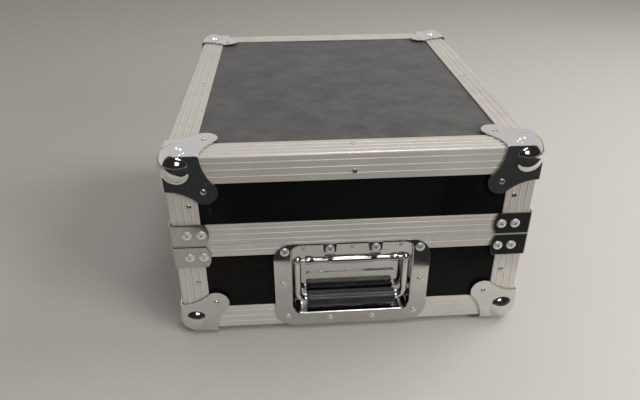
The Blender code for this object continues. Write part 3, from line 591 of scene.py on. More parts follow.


# Bright chrome plate on pressed steel, duller plate on braces, the same chrome painted darker on the handle
# as painted shade, satin rivets in all
chrome = plate(
    colour=(0.80, 0.79, 0.78), dull=(0.62, 0.61, 0.60), gloss=(0.05, 0.13),
    head=(0.78, 0.77, 0.75), headGloss=0.12, headPaint=0.0,
)
dullPlate = plate(
    colour=(0.50, 0.49, 0.455), dull=(0.40, 0.39, 0.36), gloss=(0.08, 0.15),
    head=(0.82, 0.81, 0.79), headGloss=0.20, headPaint=0.3,
)
# The handle's chrome, its colour darkened as painted shade
shadedHandlePlate = plate(
    colour=(0.69, 0.68, 0.665), dull=(0.54, 0.53, 0.515), gloss=(0.05, 0.13),
    head=(0.80, 0.79, 0.77), headGloss=0.17, headPaint=0.2,
)

# Zinc plate of the catches, a little duller and cooler than the chrome
zinc = {
    "texture": ("TexVoronoi", {"Scale": 420.0}),
    "smudges": {"Scale": 45.0},
    "scratches": {"Scale": 170.0, "Cover": 0.5},
    "colour": (0.68, 0.685, 0.69),
    "layers": {"smudges": (1, (0.60, 0.60, 0.60)), "texture": (0.2, (0.60, 0.60, 0.60))},
    "gloss": ("smudges", 0, 1, (0.16, 0.26)),
    "rougher": {"scratches": 0.2},
    "metal": 1.0,
    "relief": {"smudges": 1, "scratches": -1},
    "bump": (0.12, 0.0001),
}

# Moulded rubber of the grip
rubber = {
    "texture": ("TexNoise", {"Scale": 1500.0, "Detail": 2.0}),
    "smudges": {"Scale": 60.0},
    "dustAndShade": {"Amount": 0.15},
    "colour": (0.008, 0.008, 0.009),
    "layers": {"smudges": (1, (0.022, 0.021, 0.021)), "dustAndShade": (1, (0.12, 0.115, 0.11))},
    "gloss": ("smudges", 0, 1, (0.30, 0.46)),
    "relief": {"texture": 1},
    "bump": (0.3, 0.0002),
}

# Open-cell foam of the liners, with painted shade darkening its pores
foam = {
    "texture": ("TexVoronoi", {"Scale": 520.0}),
    "shadedPores": (0.05, 0.5),
    "smudges": {"Scale": 20.0},
    "colour": (0.030, 0.030, 0.032),
    "layers": {"shadedPores": (1, (0.006, 0.006, 0.007)), "smudges": (0.4, (0.045, 0.045, 0.047))},
    "gloss": ("smudges", 0, 1, (0.88, 1.0)),
    "relief": {"texture": 1},
    "bump": (0.6, 0.0008),
}

# Each finish with its slot
extrusionFinish = {axis: ("extrusion", buildFinish("extrusion" + axis, extrusion, axis)) for axis in "XYZ"}
chromeFinish = "chrome", buildFinish("chrome", chrome)
braceFinish = "chrome", buildFinish("dullPlate", dullPlate)
shadedHandleFinish = "chrome", buildFinish("shadedHandlePlate", shadedHandlePlate)
zincFinish = "zinc", buildFinish("zinc", zinc)
rubberFinish = "rubber", buildFinish("rubber", rubber)
foamFinish = "foam", buildFinish("foam", foam)
laminateFinish = buildFinish("laminate", laminate)

for name in nodes:
    if name.endswith("_panel"):
        nodes[name].data.materials.clear()
        nodes[name].data.materials.append(laminateFinish)
print("finishes ready")


# Rivets: a domed head round the hole of its pin, in shares of its radius and height
rivet = {
    "hole": 0.26, "holeFoot": 0.9, "holeFloor": 0.45, "holeRim": 0.93, "hollow": 0.95,
    "shoulder": 0.25, "angles": (68, 52, 36, 20, 6), "foot": 0.98,
    "sink": 0.0007,  # in metres, so that the head sits in its sheet
}


def rivetHead(radius, height, steps=20):
    hole, floor, shoulder = radius * rivet["hole"], height * rivet["holeFloor"], rivet["shoulder"]
    profile = [(0, floor), (hole * rivet["holeFoot"], floor), (hole, height * rivet["holeRim"])]
    for angle in map(math.radians, rivet["angles"]):
        profile.append((radius * math.cos(angle), height * (shoulder + (1 - shoulder) * math.sin(angle))))
    profile += [(radius, 0), (radius * rivet["foot"], -rivet["sink"]), (0, -rivet["sink"])]
    item = turnedShape(profile, steps)
    mark = item.data.attributes.new("head", "FLOAT", "POINT")
    away = [math.hypot(vertex.co.x, vertex.co.y) for vertex in item.data.vertices]
    mark.data.foreach_set("value", [float(reach > hole * rivet["hollow"]) for reach in away])
    return item


def rivetHeads(places, radius, height, steps=20):
    head = rivetHead(radius, height, steps)
    heads = [copyOf(head, place) for place in places]
    discard(head)
    return heads


# Ribbed edge extrusion
edge = inMetres({
    "width": 30, "wall": 1.5, "innerLeg": 20, "depth": 10.6, "slot": 7.6,
    "radius": 2.6, "lipRadius": 0.7, "gap": 0.3,
    "ribs": (8, 15.5, 23), "ribHeight": 0.45, "ribWidth": 1.7,
})
ribShape = ((-0.5, 0), (-0.3, 0.72), (0, 1), (0.3, 0.72), (0.5, 0))  # shares of its width and height
# What the lower front edge and the base's lip frame lose for the handle
handleCut = inMetres({"half": 67.6, "low": 14.5, "high": 140, "inner": -11, "outer": 11})
handleNotch = inMetres({"half": 67.6, "low": 90, "high": 108.8, "inner": -8.95, "outer": 4})


def ribPoints(middle, direction):
    # Places along the face and heights above it, over one crowned rib
    return [(middle + direction * edge["ribWidth"] * share, edge["ribHeight"] * rise)
            for share, rise in ribShape]


def edgeSection(values):
    radius, wall, depth, inner = take(values, "radius", "wall", "depth", "innerLeg")
    width, lip, web = values["width"], values["lipRadius"], wall + values["slot"]
    half = arc((-radius, -radius), radius, 45, 90, steps=4)
    for offset in values["ribs"]:
        half += ribPoints(-offset, -1)
    half += arc((-width + lip, -lip), lip, 90, 180, steps=3)
    half += [(-width, -wall), (-depth, -wall), (-depth, -web), (-inner, -web), (-inner, -depth)]
    other = [(y, x) for x, y in reversed(half[1:])]
    hollow = [(-wall, -wall), (-wall, -web), (-web, -web), (-web, -wall)]
    return [half + [(-depth, -depth)] + other, hollow]


def addEdges(values):
    margin = values["width"] + values["gap"]
    lengths = {"X": case["width"] - 2 * margin, "Y": case["depth"] - 2 * margin}
    plain = {axis: prism(edgeSection(values), -run / 2, run / 2) for axis, run in lengths.items()}
    for level, (body, upward, height) in levels.items():
        for side, (x, y) in sides.items():
            axis = "Y" if x else "X"
            place = axesFrame((x * halfWidth, y * halfDepth, height), (x, y, 0), (0, 0, upward))
            piece = copyOf(plain[axis], place)
            if (level, side) == ("bottom", "front"):
                boxCut(piece, "front", **handleCut)
            finishPiece(piece, f"extrusion_{level}_{side}", body, extrusionFinish[axis],
                        f"{level}_{side}_edge")
    discard(*plain.values())


# Lip frames round the seam, the tongue on the base and the groove in the lid
lips = inMetres({
    "baseHeight": 15, "baseInner": 14, "baseWeb": 2, "lidHeight": 23.9, "lidInner": 22, "lidWeb": 8.5,
    "radius": 0.6, "tongueDepth": 4.2, "tongueWide": 1.9, "tongueTip": 1.1, "tongueHeight": 5, "play": 0.6,
    "baseRibs": (7.5,), "lidRibs": (4.5, 11.5, 18),
})
# Outline of the split dish of a catch, and the room that it needs
catch = inMetres({
    "halfWidth": 56, "flange": 9, "below": 60, "above": 30, "sheet": 1, "room": 0.6, "cornerRadius": 8,
    "pocketRadius": 5, "panelOuter": 1.8, "panelInner": 8.8,
})


def addPosts(values):
    margin, gap, seam = values["width"] + values["gap"], values["gap"], case["seam"]
    spans = {
        "base": (margin, seam - lips["baseHeight"] - gap),
        "lid": (seam + case["seamGap"] + lips["lidHeight"] + gap, case["height"] - margin),
    }
    for shell, span in spans.items():
        plain = prism(edgeSection(values), *(case["stand"] + height for height in span))
        finishCorners(plain, 0, 1, f"post_{shell}_", shell, extrusionFinish["Z"], f"{shell}_post_")
        discard(plain)


def lipRibs(heights, upward):
    return [(-rise, run) for height in heights for run, rise in ribPoints(height, upward)]


def baseLipSection(values):
    top, inner, height = case["seam"], values["baseInner"], values["tongueHeight"]
    low = top - values["baseHeight"]
    wall, web, depth = edge["wall"], edge["wall"] + edge["slot"], edge["depth"]
    lip, tongue, wide, tip = take(values, "radius", "tongueDepth", "tongueWide", "tongueTip")
    slope = (wide - tip) / 2
    section = arc((lip, top - lip), lip, 180, 90, steps=3)
    section += [(tongue, top), (tongue + slope, top + height), (tongue + slope + tip, top + height)]
    section += [(tongue + wide, top), (depth, top), (depth, top - inner), (web, top - inner)]
    section += [(web, top - values["baseWeb"]), (wall, top - values["baseWeb"]), (wall, low)]
    section += arc((lip, low + lip), lip, 270, 180, steps=3)
    return section + lipRibs([top - rib for rib in values["baseRibs"]], 1)


def lidLipSection(values):
    bottom = case["seam"] + case["seamGap"]
    top, inner, web = bottom + values["lidHeight"], bottom + values["lidInner"], bottom + values["lidWeb"]
    wall, slot, depth = edge["wall"], edge["wall"] + edge["slot"], edge["depth"]
    lip, tongue, play = take(values, "radius", "tongueDepth", "play")
    near, far = tongue - play, tongue + values["tongueWide"] + play
    roof = bottom + values["tongueHeight"] + play
    section = arc((lip, bottom + lip), lip, 180, 270, steps=3)
    section += [(near, bottom), (near, roof), (far, roof), (far, bottom), (depth, bottom)]
    section += [(depth, inner), (slot, inner), (slot, web), (wall, web), (wall, top)]
    section += arc((lip, top - lip), lip, 90, 180, steps=3)
    return section + lipRibs([bottom + rib for rib in reversed(values["lidRibs"])], -1)


def lipRing(section):
    # The section goes round the four mitred corners and closes on itself
    loops = []
    for x, y in ((1, 1), (-1, 1), (-1, -1), (1, -1), (1, 1)):
        loops.append([(x * (halfWidth - depth), y * (halfDepth - depth), case["stand"] + height)
                      for depth, height in section])
    return loopShell(loops)


def cutForCatches(ring, values):
    # What the lips lose where the dishes of the catches lie
    low, high = case["seam"] - values["below"], case["seam"] + values["above"]
    half, room, out = values["halfWidth"], values["room"], case["seat"] + values["sheet"]
    rim = values["flange"] - values["sheet"] - room
    for side in ("left", "right"):
        boxCut(ring, side, half + room, low - room, high + room, -values["panelOuter"], out)
        boxCut(ring, side, half - rim, low + rim, high - rim, -values["panelInner"] - room / 4, out * 2)


def addLips(values):
    for shell, section in (("base", baseLipSection(values)), ("lid", lidLipSection(values))):
        ring = lipRing(section)
        cutForCatches(ring, catch)
        if shell == "base":
            boxCut(ring, "front", **handleNotch)
        finishPiece(ring, f"lip_{shell}", shell, extrusionFinish["X"], f"{shell}_lip_frame")


addEdges(edge)
addPosts(edge)
addLips(lips)
print("extrusions ready")


# Ball corner: one third is drawn over one face, then turned twice about the diagonal
ballCorner = inMetres({
    "radius": 20.44, "stand": 7.24, "wall": 1.5, "fold": 2.1, "fillet": 1.3,
    "edgeReach": 36.3, "waist": (41.3, 20), "lobeCentre": 37.3, "lobeRadius": 14.1,
    "rivet": (3, 1.4), "rim": 0.35,
    "fallRun": 3, "merge": 0.02,
})
ballRays = {
    "count": 84, "apart": 0.02,  # even rays, and the least angle to a key ray in radians
    "lobeStart": -20,  # where the waist runs into the lobe, in degrees
    "innerAngles": (0, 5, 10, 15, 20, 25, 30),
    "zone": 0.77, "relaxed": 1.12, "search": 0.4,  # in shares of the radius of the ball
    "ballSteps": 11, "flangeSteps": 5, "halvings": 40,
    "fall": 3.0,  # how steeply the flange falls off under the ball
    "flat": 1e-12, "slack": 1e-6,  # tolerances where a ray meets the outline
    "steep": 0.01,
}


def flangeOutline(values, outer):
    centre, reach = values["lobeCentre"], values["edgeReach"]
    lobe = arc((centre, centre), values["lobeRadius"], ballRays["lobeStart"], 45, steps=10)
    half = [(-outer, -outer), (reach, -outer), (reach, 0)]
    half += arcThrough((reach, 0), values["waist"], lobe[0], steps=8) + lobe[1:]
    other = [(y, x) for x, y in reversed(half[1:-1])]
    return [(-x, -y) for x, y in half + other]


def rayLength(outline, start, angle):
    # How far a ray from the axis of the ball runs before it leaves the outline
    step = Vector((math.cos(angle), math.sin(angle)))
    slack = ballRays["slack"]
    best = 0
    for first, second in zip(outline, outline[1:] + outline[:1]):
        side = Vector(second) - Vector(first)
        away = Vector(first) - start
        cross = step.x * side.y - step.y * side.x
        if abs(cross) < ballRays["flat"]:
            continue
        run = (away.x * side.y - away.y * side.x) / cross
        share = (away.x * step.y - away.y * step.x) / cross
        if run > best and -slack <= share <= 1 + slack:
            best = run
    return best


def ballThird(values):
    radius, fold, fillet = take(values, "radius", "fold", "fillet")
    outer = case["seat"] + values["wall"]
    depth = radius - values["stand"]
    start = Vector((-depth, -depth))
    outline = flangeOutline(values, outer)

    def height(x, y):
        flange = outer
        for run in (x, y):
            over = min(max(run - outer + fold, 0), fold)
            flange -= fold - math.sqrt(fold ** 2 - over ** 2)
        past = max(x + y + flange - 2 * outer + depth, 0)
        flange -= ballRays["fall"] * past * past / (past + values["fallRun"])
        ball = math.sqrt(max(radius ** 2 - (x + depth) ** 2 - (y + depth) ** 2, 0)) - depth
        blend = max(fillet - abs(flange - ball), 0)
        return max(flange, ball) + blend ** 2 / (4 * fillet)

    def spot(angle, run):
        x, y = start.x + run * math.cos(angle), start.y + run * math.sin(angle)
        return x, y, height(x, y)

    def rayEnd(angle):
        # The ray ends at the outline, or where the next third takes over
        far = rayLength(outline, start, angle)
        x, y, z = spot(angle, far)
        if z >= max(x, y):
            return far
        near = radius * ballRays["search"]
        for _ in range(ballRays["halvings"]):
            middle = (near + far) / 2
            x, y, z = spot(angle, middle)
            if z < max(x, y):
                far = middle
            else:
                near = middle
        return (near + far) / 2

    # Rays through the key points of the outline and their mirror images, and even ones between
    turn = outer - fold + fold * math.sqrt(0.5)
    keys = [(-values["edgeReach"], turn)] + outline[2:len(outline) // 2 + 1]
    angles = {round(math.atan2(y + depth, x + depth) % math.tau, 5) for x, y in keys}
    angles |= {round((math.pi / 2 - entry) % math.tau, 5) for entry in angles}
    for step in range(ballRays["count"]):
        entry = round((math.pi / 4 + math.tau * step / ballRays["count"]) % math.tau, 5)
        if min(abs(math.remainder(entry - key, math.tau)) for key in angles) > ballRays["apart"]:
            angles.add(entry)
    angles = sorted(angles)
    inner = [radius * math.sin(math.radians(entry)) for entry in ballRays["innerAngles"]]
    tracks = []
    for angle in angles:
        end = rayEnd(angle)
        first = min(end, radius * ballRays["zone"])
        lean = max(math.cos(angle), math.sin(angle))
        bend = (outer - fold + depth) / lean if lean > ballRays["steep"] else end
        second = min(max(bend, first), end)
        track = list(inner)
        for low, high, steps in ((inner[-1], first, ballRays["ballSteps"]),
                                 (first, second, ballRays["flangeSteps"]),
                                 (second, end, ballRays["flangeSteps"])):
            track += [low + (high - low) * step / steps for step in range(1, steps + 1)]
        tracks.append([spot(angle, run) for run in track])
    return shapedGrid(len(angles), len(tracks[0]) - 1, lambda column, row: tracks[column % len(angles)][row])


def relaxBall(shell, values):
    middle = Vector((-1, -1, -1)) * (values["radius"] - values["stand"])
    reach = values["radius"] * ballRays["relaxed"]
    drawn = shell.vertex_groups.new(name="drawn")
    near = [vertex.index for vertex in shell.data.vertices if (vertex.co - middle).length < reach]
    drawn.add(near, 1.0, "REPLACE")
    modified(shell, "SMOOTH", iterations=3, vertex_group="drawn")
    shell.vertex_groups.clear()


def addBallCorners(values):
    turns = [Matrix.Rotation(math.tau * step / 3, 4, Vector((1, 1, 1))) for step in range(3)]
    third = ballThird(values)
    shell = joinAll([third] + [copyOf(third, turn) for turn in turns[1:]])
    edit(shell, lambda: mergeDoubles(values["merge"]), evenNormals)
    faceOutward(shell, (1, 1, 1))
    relaxBall(shell, values)
    thicken(shell, values["wall"])
    softenEdges(shell, values["rim"])
    inward = -values["lobeCentre"]
    places = [turn @ at(inward, inward, case["seat"] + values["wall"]) for turn in turns]
    whole = joinAll([shell] + rivetHeads(places, *values["rivet"]))
    for level, (body, upward, height) in levels.items():
        finishCorners(whole, height, upward, f"corner_{level}_", body, chromeFinish,
                      f"ball_corner_{level}_")
    discard(whole)


addBallCorners(ballCorner)
print("ball corners ready")


# Corner braces beside the seam
brace = inMetres({
    "height": 25, "reach": 37.8, "bulge": 3.8, "gap": 2.4, "wall": 1.5, "bend": 3, "rim": 0.35,
    "rivetReach": (15.5, 30), "rivet": (5, 2),
})
braceGrid = {"leg": 6, "bend": 6, "rows": 10}


def addBraces(values):
    outer = case["seat"] + values["wall"]
    bend, half = values["bend"], values["height"] / 2
    legSteps, bendSteps, rows = take(braceGrid, "leg", "bend", "rows")
    columns = 2 * legSteps + bendSteps
    start = outer - bend

    def placeOf(column, row):
        high = -half + 2 * half * row / rows
        end = -values["reach"] + values["bulge"] * (high / half) ** 2
        if column <= legSteps:
            return end + (start - end) * column / legSteps, outer, high
        if column >= legSteps + bendSteps:
            share = (columns - column) / legSteps
            return outer, end + (start - end) * share, high
        angle = math.radians(90 - 90 * (column - legSteps) / bendSteps)
        return start + bend * math.cos(angle), start + bend * math.sin(angle), high

    leg = faceOutward(shapedGrid(columns, rows, placeOf), (1, 1, 0))
    thicken(leg, values["wall"])
    softenEdges(leg, values["rim"])
    onBack = Matrix(((1, 0, 0, 0), (0, 0, 1, 0), (0, -1, 0, 0), (0, 0, 0, 1)))
    onSide = Matrix(((0, 0, 1, 0), (1, 0, 0, 0), (0, 1, 0, 0), (0, 0, 0, 1)))
    places = [turn @ at(-reach, 0, outer) for reach in values["rivetReach"] for turn in (onBack, onSide)]
    whole = joinAll([leg] + rivetHeads(places, *values["rivet"], steps=28))
    shift = (values["gap"] + values["height"]) / 2
    for shell, up in (("base", -1), ("lid", 1)):
        height = case["stand"] + case["seam"] + case["seamGap"] / 2 + up * shift
        finishCorners(whole, height, 1, f"brace_{shell}_", shell, braceFinish, f"{shell}_brace_")
    discard(whole)


addBraces(brace)
print("braces ready")


# Small rivets that hold the panels in the extrusions
panelRivet = inMetres({
    "rivet": (2.9, 1.3),
    "middleIn": 20,  # how far in from the edge at mid length
    "middleDown": 21, "postIn": 21, "postHigh": (65, 159),
})


def addPanelRivets(values):
    spots = {"base": [], "lid": []}
    for side, (x, y) in sides.items():
        spots["lid"].append((side, 0, case["height"] - values["middleDown"]))
        if side != "front":  # the handle's dish lies there
            spots["base"].append((side, 0, values["middleDown"]))
        across = (halfDepth if x else halfWidth) - values["postIn"]
        for sign in (-1, 1):
            for shell, up in zip(spots, values["postHigh"]):
                spots[shell].append((side, sign * across, up))
    for level, (shell, upward, height) in levels.items():
        for sign in (-1, 1):
            spots[shell].append((level, sign * (halfWidth - values["middleIn"]), 0))
            spots[shell].append((level, 0, sign * (halfDepth - values["middleIn"])))
    for shell, entries in spots.items():
        places = [faceFrame(side) @ at(across, up) for side, across, up in entries]
        heads = rivetHeads(places, *values["rivet"], steps=18)
        finishPiece(joinAll(heads), f"panel_rivets_{shell}", shell, chromeFinish)


addPanelRivets(panelRivet)
print("panel rivets ready")


def pressedSheet(outline, face, deep, rim, ease, steps, upper, between, lower, middle, sheet):
    # From the outline over a rounded rim, the loops between and a rounded floor to the middle
    loops = [raised(outline, face)]
    for sine, cosine in quarter(steps):
        loops.append(upper(rim * sine - rim, face - rim + rim * cosine))
    loops += between
    for sine, cosine in quarter(steps):
        loops.append(lower(ease * (1 - cosine), deep + ease - ease * sine))
    loops.append([(*middle, deep)] * len(outline))
    return thicken(faceOutward(loopShell(loops), (0, 0, 1)), sheet)


# Recessed handle: dish plate, hinge barrel with its tabs, sprung bail and grip
dish = inMetres({
    "sheet": 1.2, "halfWidth": 84, "bottom": 0.5, "top": 110.5, "cornerRadius": 21,
    "pocketHalf": 64.6, "pocketBottom": 17.5, "pocketTop": 90.7, "shelfTop": 107,
    "shelf": ((-0.7, 106.9), (-1.15, 106.3), (-1.4, 105.2), (-1.8, 102), (-2.2, 98.8), (-2.6, 95.6),
              (-2.9, 93.2), (-3.2, 92), (-3.9, 91.4), (-5, 91.2), (-8, 91), (-11, 90.8)),
    "pocketDepth": 15.6, "draft": 1.4, "pocketRadius": 10, "rim": 1.9, "floorRadius": 2.2, "soft": 0.3,
    "ledgeHalf": 49, "ledgeHigh": 58.4, "ledgeWide": 4.6, "ledgeRise": 2.3, "ledgeRound": 2.1,
    "largeRivet": (5, 2.2), "smallRivet": (3.3, 1.7), "shelfRivet": (2.5, 1.2), "shelfDeep": 1.8,
    "largeSpots": ((-72, 101), (72, 101)),
    "smallSpots": ((-75, 58), (75, 58), (-71, 14), (71, 14), (-23.7, 9.5), (23.7, 9.5)),
    "shelfSpots": ((-52, 102.2), (0, 102.2), (52, 102.2)),
})
shelfFall = 0.8  # the upper rim of the pocket closes in by this share of its sides


def addDish(values):
    face = case["seat"] + values["sheet"]
    rim, floor, draft, foot, head = take(values, "rim", "floorRadius", "draft", "pocketBottom", "pocketTop")
    low = -values["pocketDepth"]

    def loop(inset, top, out):
        half, radius = values["pocketHalf"] - inset, values["pocketRadius"] - inset / 2
        return raised(roundedLoop(-half, half, foot + inset, top, radius, steps=9), out)

    outline = roundedLoop(-values["halfWidth"], values["halfWidth"], values["bottom"], values["top"],
                          values["cornerRadius"], steps=9)
    shelf = [loop(draft * (face - rim - out) / (face - rim - low), top, out) for out, top in values["shelf"]]
    pressed = pressedSheet(
        outline, face, low, rim, floor, steps=5,
        upper=lambda inset, out: loop(inset, values["shelfTop"] - inset * shelfFall, out), between=shelf,
        lower=lambda inset, out: loop(draft + inset, head - inset, out),
        middle=(0, (foot + head) / 2), sheet=values["sheet"])
    softenEdges(pressed, values["soft"])
    half, high, radius = values["ledgeHalf"], values["ledgeHigh"], values["ledgeWide"] / 2
    line = roundedLoop(-half, half, high - radius, high + radius, radius * almostRound, steps=8)
    ledge = prism([line], low - values["sheet"] / 2, low + values["ledgeRise"])
    pieces = [pressed, softenEdges(ledge, values["ledgeRound"], segments=5)]
    for kind, out, steps in (("large", face, 28), ("small", face, 20), ("shelf", -values["shelfDeep"], 16)):
        places = [at(across, up, out) for across, up in values[kind + "Spots"]]
        pieces += rivetHeads(places, *values[kind + "Rivet"], steps)
    finishPiece(settle(joinAll(pieces), faceFrame("front")), "handle_dish", "base", shadedHandleFinish,
                "handle_dish_plate")


addDish(dish)

hinge = inMetres({
    "pivotHigh": 84.5, "pivotDeep": 5, "half": 50.5, "waistRadius": 3.5, "middleRadius": 4.6,
    "waist": (27, 40), "middleRun": 7, "sheet": 1.2, "play": 0.3, "boreRadius": 2.7, "boreDepth": 16,
    "endRound": ((3.76, 0), (4.371, 0.4), (4.7, 1.4), (4.7, 4)),
    "tabReach": 24.3, "tabWide": 14.5, "tabNarrow": 4, "tabTop": 110.5, "tabEnd": 88.3, "tabStep": 1.8,
    "tabCurve": ((8.1, 13.6), (7.6, 12.4), (6.8, 10.8), (5.9, 9.2), (5, 7.7), (4.1, 6.3), (3.4, 5.2),
                 (2.7, 4.3)),
    "tabTip": 2, "soft": 0.3, "rivetHigh": 104.2, "rivet": (4.7, 2.1),
})
tabColumns, tabStraight = 6, 7  # cells across a tab, and the points of its straight run
atPivot = faceFrame("front") @ at(0, hinge["pivotHigh"], -hinge["pivotDeep"])


def addHinge(values):
    half, waist, middle, bore = take(values, "half", "waistRadius", "middleRadius", "boreRadius")
    near, far = values["waist"]
    side = [(bore, half)] + [(radius, half - run) for radius, run in values["endRound"]]
    side += eased(side[-1], (waist, far), steps=6) + [(waist, near)]
    side += eased(side[-1], (middle, near - values["middleRun"]), steps=6)
    side = [(0, half - values["boreDepth"]), (bore, half - values["boreDepth"])] + side
    barrel = turnedShape(side + [(radius, -run) for radius, run in reversed(side)], steps=32, axis="X")
    sheet, pivot, narrow = take(values, "sheet", "pivotHigh", "tabNarrow")
    face = case["seat"] + 2 * sheet + values["play"] + values["pivotDeep"]
    top, end = values["tabTop"] - pivot, values["tabEnd"] - pivot
    path = [(face, top - values["tabStep"] * step) for step in range(tabStraight)]
    path += [*values["tabCurve"], (values["tabTip"], end)]
    pieces = [barrel]
    for reach in (-values["tabReach"], values["tabReach"]):
        def placeOf(column, row):
            out, up = path[row]
            share = min(max((top - up) / (top - end), 0), 1)
            wide = narrow + (values["tabWide"] - narrow) * math.sqrt(1 - share * share)
            return reach + wide * (column / tabColumns - 0.5), up, out
        tab = faceOutward(shapedGrid(tabColumns, len(path) - 1, placeOf), (0, 0, 1))
        pieces.append(softenEdges(thicken(tab, sheet), values["soft"]))
        place = at(reach, values["rivetHigh"] - pivot, face)
        pieces += rivetHeads([place], *values["rivet"], steps=28)
    finishPiece(settle(joinAll(pieces), atPivot), "handle_hinge", "base", shadedHandleFinish, "handle_hinge_strap")


addHinge(hinge)

bail = inMetres({
    "rod": 3.9, "halfSpan": 58.8, "bend": 9, "length": 52.5, "knuckle": 4.8,
    "pin": 2.4, "pinLength": 11, "pinTip": 1.92, "pinRound": 0.6,
})


def addBail(values):
    span, bend, ball, pin = take(values, "halfSpan", "bend", "knuckle", "pin")
    side = [(span, 0)] + arc((span - bend, bend - values["length"]), bend, 0, -90, steps=12)
    rod = curveMesh([raised(mirrored(side), 0)], dimensions="3D", bevel_depth=values["rod"],
                    bevel_resolution=6, use_fill_caps=True)
    pieces = [edit(rod, mergeDoubles, evenNormals)]
    inner = span - ball - values["pinLength"]
    line = [(0, inner), (values["pinTip"], inner), (pin, inner + values["pinRound"]), (pin, span), (0, span)]
    for sign in (-1, 1):
        knuckle = turnedShape(arc((0, 0), ball, 90, -90, steps=18), steps=24)
        end = turnedShape(line, steps=16, axis="X")
        if sign < 0:
            settle(end, Matrix.Rotation(math.pi, 4, "Y"))
        pieces += [settle(knuckle, at(sign * span, 0)), end]
    finishPiece(settle(joinAll(pieces), atPivot), "handle_loop", "handle", chromeFinish, "handle_bail")


addBail(bail)

grip = inMetres({"half": 49, "radius": 9, "flute": 0.5, "fluteEnd": 6, "bore": 4.2, "round": 1.6})
gripSteps = {"flutes": 8, "around": 64, "round": (90, 65, 40, 20, 0)}


def addGrip(values):
    half, radius, bend, fade = take(values, "half", "radius", "round", "fluteEnd")
    side = [(-half, values["bore"])]
    for lean in map(math.radians, gripSteps["round"]):
        side.append((-half + bend * (1 - math.sin(lean)), radius - bend * (1 - math.cos(lean))))
    side += [(-half + fade, radius), (-half / 2, radius), (0, radius)]
    line = side + [(-run, size) for run, size in reversed(side[:-1])]
    loops = []
    for run, full in line + line[:1]:
        # The flutes run out towards both ends
        depth = values["flute"] * min(max((half - abs(run)) / fade, 0), 1)
        loop = []
        for index in range(gripSteps["around"]):
            angle = math.tau * index / gripSteps["around"]
            size = full - depth * max(math.cos(angle * gripSteps["flutes"]), 0) ** 3
            loop.append((run, size * math.cos(angle), size * math.sin(angle)))
        loops.append(loop)
    piece = settle(loopShell(loops), atPivot @ at(0, -bail["length"]))
    finishPiece(piece, "handle_sleeve", "handle", rubberFinish, "handle_grip")


addGrip(grip)
print("handle ready")


# Butterfly catches, one on each side: split dish, turning boss with its cam, hook and folding wing
dishPress = inMetres({
    "floor": 7.8, "face": 0.5, "rim": 1.3, "floorRadius": 1.6, "axle": 4.3, "gap": 0.4, "soft": 0.2,
    "rivet": (2.6, 1.1),
    "lowerRivets": ((-51.4, 68), (51.4, 68), (-51.4, 98), (51.4, 98), (-24, 57), (24, 57)),
    "upperRivets": ((-51.4, 128), (51.4, 128), (-24, 138), (24, 138)),
    "keeperHalf": 13, "keeperLow": 118.5, "keeperHigh": 121.2, "keeperStand": 3, "keeperSink": 0.4,
    "keeperSoft": 0.5,
    "far": 200, "through": 20,  # how far the cutting tools reach
})
boss = inMetres({
    "high": 84, "cam": 12.5, "throw": 3, "back": 7.5, "face": 0.7, "stub": 4, "stubSink": 1.1, "edge": 0.8,
    "play": 0.8, "camSoft": 0.4, "earSoft": 0.5,
    "pinStand": 1.9, "pin": 1, "bore": 1.3, "earNear": 8.3, "earFar": 10.3, "earHalf": 2.2, "earTop": 4.6,
})
hook = inMetres({
    "sheet": 1.5, "rail": 4, "out": 3.5, "neck": 15, "back": 4.5, "corner": 3, "shoulderDrop": 1.5,
    "neckCurve": ((1.2, 2.8), (0.3, 4.2), (0, 6)), "tipRound": 0.8, "soft": 0.3,
    "clawLow": 37.5, "clawThick": 2, "clawDeep": 1.125, "clawSoft": 0.6,
})
wing = inMetres({
    "half": 17, "length": 16, "lobe": 6.4, "thick": 1.8, "soft": 0.6,
    "notch": ((4.48, 0.6), (2.24, 1.1), (0.6, 1.3)),
    "knuckleHalf": 8, "knuckle": 1.6, "knuckleRise": 0.6, "knuckleSoft": 0.2,
    "reach": 10.1, "pinSoft": 0.3, "neck": 3.3,
})


def pressedDish(values):
    low, high = case["seam"] - catch["below"], case["seam"] + catch["above"]
    wide, flange = catch["halfWidth"], catch["flange"]

    def loop(inset, out):
        run, radius = flange + inset, catch["pocketRadius"] - inset
        return raised(roundedLoop(run - wide, wide - run, low + run, high - run, radius, steps=8), out)

    outline = roundedLoop(-wide, wide, low, high, catch["cornerRadius"], steps=8)
    return pressedSheet(
        outline, -values["face"], -values["floor"], values["rim"], values["floorRadius"], steps=3,
        upper=loop, between=[], lower=loop, middle=(0, boss["high"]), sheet=catch["sheet"])


def catchHalves(values):
    seam, far, through, deep = case["seam"], values["far"], values["through"], values["floor"]
    lower = pressedDish(values)
    upper = copyOf(lower)
    cutAway(lower, block((-far, seam, -far), (far, far, far)))
    cutAway(lower, settle(cylinder(values["axle"], -through, through), at(0, boss["high"])))
    cutAway(upper, block((-far, -far, -far), (far, seam + values["gap"], far)))
    half = values["keeperHalf"]
    keeper = block((-half, values["keeperLow"], -deep - values["keeperSink"]),
                   (half, values["keeperHigh"], values["keeperStand"] - deep))
    softenEdges(keeper, values["keeperSoft"], segments=3)
    wholes = []
    for press, spots, more in ((lower, "lowerRivets", []), (upper, "upperRivets", [keeper])):
        places = [at(across, up, -values["face"]) for across, up in values[spots]]
        heads = rivetHeads(places, *values["rivet"], steps=16)
        wholes.append(joinAll([softenEdges(press, values["soft"])] + more + heads))
    return wholes


